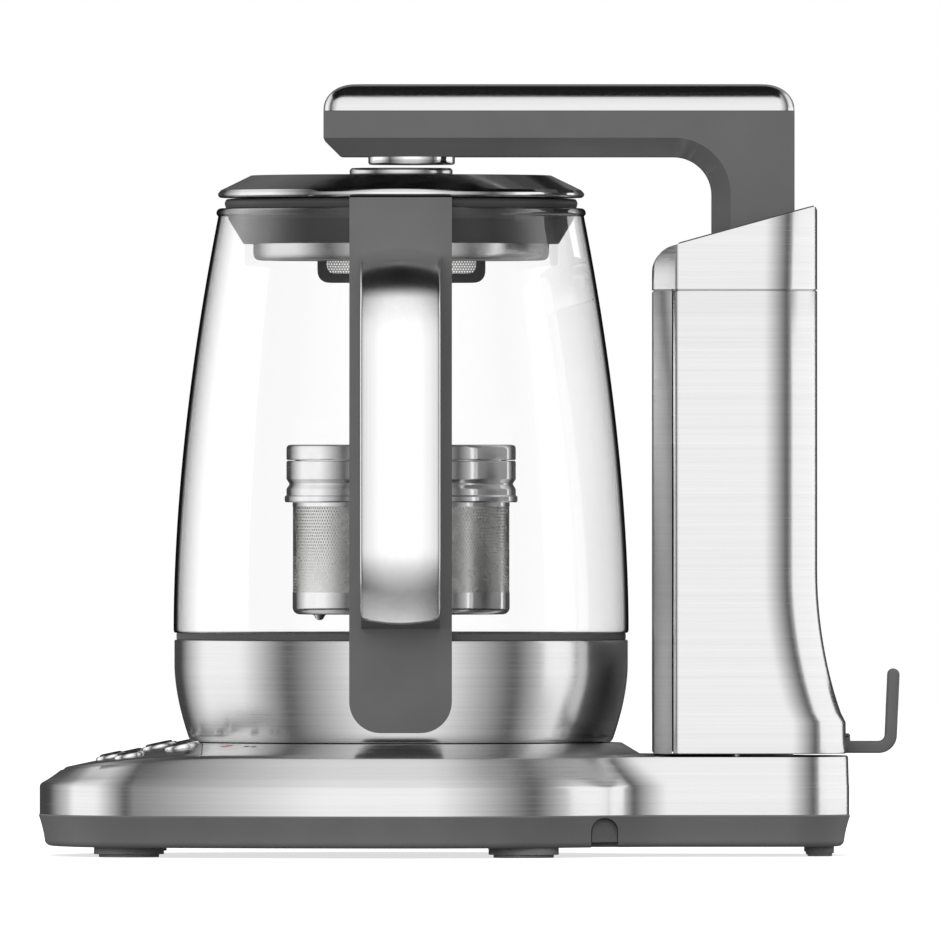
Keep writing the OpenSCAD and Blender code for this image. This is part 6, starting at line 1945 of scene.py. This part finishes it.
@dataclass
class Lift:
    """The lead screw's cut thread; the rest of the lift keeps its CAD shapes."""

    pitch: float = 8.0
    radius: float = 4.0
    low: float = 50.0
    high: float = 160.0

    def build(self) -> None:
        """Builds the screw with a trapezoid thread of 8 mm lead, 0.5 mm deep."""
        steps, per_turn = 48, 8
        depth = [0.0, 0.0, 0.5, 0.5, 0.0, 0.0, 0.5, 0.5]
        rows = int((self.high - self.low) / self.pitch * per_turn)
        rings = []
        for k in range(rows + 1):
            z = self.low + (self.high - self.low) * k / rows
            ring = []
            for j in range(steps):
                a = math.tau * j / steps
                phase = ((z - self.low) / self.pitch * per_turn - j / steps * per_turn) % per_turn
                i = int(phase)
                d = depth[i] + (depth[(i + 1) % per_turn] - depth[i]) * (phase - i)
                r = self.radius - 0.02 - (d if 0 < k < rows else 0.6)
                ring.append((SCREW_X + r * math.cos(a), r * math.sin(a), z))
            rings.append(ring)
        piece(Form("screw_thread").loft(rings).finish(60), Look.SATIN_STEEL, "screw", "satin_steel", "lead_screw")


CARRIED = {
    Look.BOARD: ("control_board", "power_board"),
    Look.INNER_PLASTIC: ("tact_switches", "base_connector", "lift_chassis", "limit_switches", "shaft_coupler",
        "kettle_underside",
        "kettle_connector", "lift_carriage"),
    Look.BRASS: ("connector_contacts", "lift_nut", "screw_bearings"),
    Look.POLISHED_STEEL: ("guide_rods",),
    Look.MOTOR_CAN: ("lift_motor",),
    Look.NICKEL: ("coupler_magnet",),
    Look.ZINC: ("handle_screws",),
    Look.BUSH_RUBBER: ("cord_grommet",),
    Look.SHEATH: ("heating_element",),
}


def carry_over() -> None:
    """Gives the CAD nodes that keep their shape a finish of their own."""
    for look, names in CARRIED.items():
        for name in names:
            dress(frame["nodes"][name], look)
            LOG.info("carried over %s", name)


# ------------------------------------------------------------------ the studio

@dataclass
class Studio:
    """A white sweep, two soft lamps, and the cards and flags that give polished metal its bands."""

    scale: float = 0.343
    distance: float = 10.0
    centre: Point3 = (0.32, 0.0, 132.4)

    def build(self) -> None:
        """Builds the world, the floor, the cards, the lamps and the camera."""
        self.world()
        self.floor()
        # A black flag over the arm and the lid, and a white card beyond the tower for the bend of its rear edge.
        self.card("flag_black", self.FLAG_LEVEL,
                [(-0.115, -0.05, 0.345), (0.14, -0.05, 0.345), (0.14, 0.085, 0.345), (-0.115, 0.085, 0.345)])
        self.card("card_white", self.CARD,
                [(0.4, -0.12, -0.02), (0.4, 0.45, -0.02), (0.4, 0.45, 0.3), (0.4, -0.12, 0.3)])
        self.lamps()
        self.camera()

    # Display levels: white cards, black flags and the unlit room.
    CARD: ClassVar = 240
    BLACK: ClassVar = 80
    ROOM: ClassVar = 60
    FLAG_LEVEL: ClassVar = 20
    # Middles of three equal cards and of the two flags between them, by twice the azimuth of the face that mirrors them.
    CARDS: ClassVar = (-105, 0, 105)
    FLAGS: ClassVar = (-60, 60)
    HALF_CARD: ClassVar = 15
    UNLIT: ClassVar = (-180, -150, 150, 180)

    @staticmethod
    def level(value: float) -> float:
        """Brightness that polished or brushed steel shows as a display level."""
        return (value / 255) ** 2.2 / 0.66

    def world(self) -> None:
        """White for the camera and through glass; banded for reflections; plain soft light otherwise."""
        world = bpy.data.worlds.new("studio")
        bpy.context.scene.world = world
        world.use_nodes = True
        tree = world.node_tree
        tree.nodes.clear()
        part = add_node(tree, "ShaderNodeSeparateXYZ",
                {0: add_node(tree, "ShaderNodeTexCoord").outputs["Generated"]}).outputs

        def maths(kind: str, a: Any, b: Any = 0.0) -> Socket:
            return add_node(tree, "ShaderNodeMath", {0: a, 1: b}, operation=kind).outputs[0]

        def banded(stops: Sequence[tuple[float, float]], value: Socket, low: float, high: float) -> Socket:
            share = add_node(tree, "ShaderNodeMapRange", {"Value": value, "From Min": math.radians(low),
                    "From Max": math.radians(high)}).outputs[0]
            return ramp(tree, share, [((a - low) / (high - low), self.level(v)) for a, v in stops])

        # Azimuth and elevation of the face that mirrors this direction to somebody in front, along -Y.
        depth = maths("SUBTRACT", 1.0, part["Y"])
        azimuth = maths("MULTIPLY", maths("ARCTAN2", part["X"], depth), 2.0)
        reach = maths("SQRT",
                maths("ADD", maths("MULTIPLY", part["X"], part["X"]), maths("MULTIPLY", depth, depth)))
        slope = maths("ARCTAN2", part["Z"], maths("MAXIMUM", reach, 1e-4))
        stops = [(middle + side, self.CARD) for middle in self.CARDS for side in (-self.HALF_CARD, self.HALF_CARD)]
        stops += [(middle, self.BLACK) for middle in self.FLAGS] + [(middle, self.ROOM) for middle in self.UNLIT]
        ring = banded(sorted(stops), azimuth, -180, 180)
        fall = ramp(tree, maths("ADD", maths("DIVIDE", slope, math.pi), 0.5),
                [(0.2, 0.25), (0.3, 0.55), (0.42, 0.92), (0.5, 1.0),
                (0.6, 0.95), (0.72, 0.78)])
        sides = add_node(tree, "ShaderNodeMix", {"Factor": 1.0, 6: ring, 7: fall}, data_type="RGBA",
                blend_type="MULTIPLY").outputs[2]
        flat = maths("SQRT",
                maths("ADD", maths("MULTIPLY", part["X"], part["X"]), maths("MULTIPLY", part["Y"], part["Y"])))
        # One strip light at 30 degrees in the unlit room behind.
        back = banded(((0, self.ROOM), (30, 2 * self.ROOM), (60, self.ROOM), (90, self.ROOM)),
                maths("ARCTAN2", part["Z"], flat), 0, 90)
        lean = maths("ADD", maths("MULTIPLY", part["X"], 1.4), 1.0)
        back = add_node(tree, "ShaderNodeVectorMath", {0: back, 3: lean}, operation="SCALE").outputs[0]
        behind = add_node(tree, "ShaderNodeMapRange",
                {"Value": slope, "From Min": math.radians(43), "From Max": math.radians(52)}).outputs[0]
        glossy = add_node(tree, "ShaderNodeMix", {"Factor": behind, 6: sides, 7: back}, data_type="RGBA").outputs[2]
        path = add_node(tree, "ShaderNodeLightPath").outputs
        soft = add_node(tree, "ShaderNodeBackground", {"Color": (1, 1, 1, 1), "Strength": 0.6}).outputs[0]
        seen = add_node(tree, "ShaderNodeBackground", {"Color": glossy, "Strength": 1.0}).outputs[0]
        white = add_node(tree, "ShaderNodeBackground", {"Color": (1, 1, 1, 1), "Strength": 1.0}).outputs[0]
        first = add_node(tree, "ShaderNodeMixShader", {0: path["Is Glossy Ray"], 1: soft, 2: seen}).outputs[0]
        clear = maths("MAXIMUM", path["Is Camera Ray"], path["Is Transmission Ray"])
        last = add_node(tree, "ShaderNodeMixShader", {0: clear, 1: first, 2: white}).outputs[0]
        add_node(tree, "ShaderNodeOutputWorld", {"Surface": last})

    def card(self, name: str, level: float, corners: Sequence[Point3]) -> None:
        """Sets up a plain card that only mirrored rays meet.

        Args:
            name: the card's name.
            level: its display level.
            corners: its four corners, in metres.
        """
        mesh = bpy.data.meshes.new(name)
        mesh.from_pydata(corners, [], [(0, 1, 2, 3)])
        card = bpy.data.objects.new(name, mesh)
        bpy.context.scene.collection.objects.link(card)
        material = bpy.data.materials.new(name)
        material.use_nodes = True
        tree = material.node_tree
        tree.nodes.remove(tree.nodes["Principled BSDF"])
        glow = add_node(tree, "ShaderNodeEmission",
                {"Color": (1, 1, 1, 1), "Strength": self.level(level)}).outputs[0]
        tree.links.new(glow, tree.nodes["Material Output"].inputs["Surface"])
        card.data.materials.append(material)
        card.visible_camera = card.visible_diffuse = card.visible_transmission = card.visible_shadow = False
        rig.stage(card)

    def floor(self) -> None:
        """A white floor that keeps the object's shadow and throws only a little light back up."""
        size, parts = 6.0, 12
        bm = bmesh.new()
        bmesh.ops.create_grid(bm, x_segments=parts, y_segments=parts, size=size)
        mesh = bpy.data.meshes.new("floor")
        bm.to_mesh(mesh)
        bm.free()
        floor = bpy.data.objects.new("floor", mesh)
        bpy.context.scene.collection.objects.link(floor)
        material = bpy.data.materials.new("floor_white")
        material.use_nodes = True
        tree = material.node_tree
        shader = tree.nodes["Principled BSDF"]
        shader.inputs["Base Color"].default_value = srgb("#dcdcdc")
        shader.inputs["Roughness"].default_value = 0.9
        shader.inputs["Specular IOR Level"].default_value = 0.0
        path = add_node(tree, "ShaderNodeLightPath").outputs
        grey = add_node(tree, "ShaderNodeBsdfDiffuse", {"Color": srgb("#757575")}).outputs[0]
        glow = add_node(tree, "ShaderNodeEmission", {"Color": (1, 1, 1, 1), "Strength": 0.7}).outputs[0]
        bright = add_node(tree, "ShaderNodeAddShader", {0: shader.outputs[0], 1: glow}).outputs[0]
        mixed = add_node(tree, "ShaderNodeMixShader", {0: path["Is Diffuse Ray"], 1: bright, 2: grey}).outputs[0]
        tree.links.new(mixed, tree.nodes["Material Output"].inputs["Surface"])
        floor.data.materials.append(material)
        floor.visible_glossy = False
        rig.stage(floor)

    def lamps(self) -> None:
        """Two large soft lamps: one low in front and one high above."""
        for name, place, size, power in (("front", (-0.5, -2.6, 0.55), 1.5, 34.0),
                ("top", (-0.2, -0.5, 2.4), 1.8, 14.0)):
            data = bpy.data.lights.new(name, "AREA")
            data.shape, data.size, data.energy = "SQUARE", size, power
            lamp = bpy.data.objects.new(name, data)
            lamp.location = place
            lamp.rotation_euler = (Vector((0, 0, 0.12)) - Vector(place)).to_track_quat("-Z", "Y").to_euler()
            lamp.visible_glossy = False
            lamp.visible_transmission = False
            lamp.visible_camera = False
            bpy.context.scene.collection.objects.link(lamp)

    def camera(self) -> None:
        """A level long lens, square to the arm."""
        data = bpy.data.cameras.new("camera")
        data.sensor_width = 36.0
        data.lens = 36.0 * self.distance / (940 * self.scale * MM)
        data.clip_start, data.clip_end = 0.1, 60.0
        camera = bpy.data.objects.new("camera", data)
        camera.location = (self.centre[0] * MM, -self.distance, self.centre[2] * MM)
        camera.rotation_euler = (math.pi / 2, 0.0, 0.0)
        bpy.context.scene.collection.objects.link(camera)
        bpy.context.scene.camera = camera
        bpy.context.scene.view_settings.view_transform = "Standard"


def main() -> None:
    """Builds the whole scene and writes the two boxes that show its size is kept."""
    logging.basicConfig(level=logging.INFO, format="%(message)s")
    for name in ("Cube", "Light", "Camera"):
        if name in bpy.data.objects:
            bpy.data.objects.remove(bpy.data.objects[name])
    cad_box = [list(v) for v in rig.bounds()]
    Studio().build()
    repeats, outline = Repeats(), Outline()
    carry_over()
    for part in (Station(outline, repeats), ControlPanel(outline), Tower(), Arm(repeats), Kettle(repeats), Lid(),
            Basket(repeats), Lift()):
        part.build()
    with open("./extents.json", "w", encoding="utf-8") as handle:
        json.dump({"cad": cad_box, "visual": [list(v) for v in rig.bounds()]}, handle)


if __name__ == "__main__":
    main()
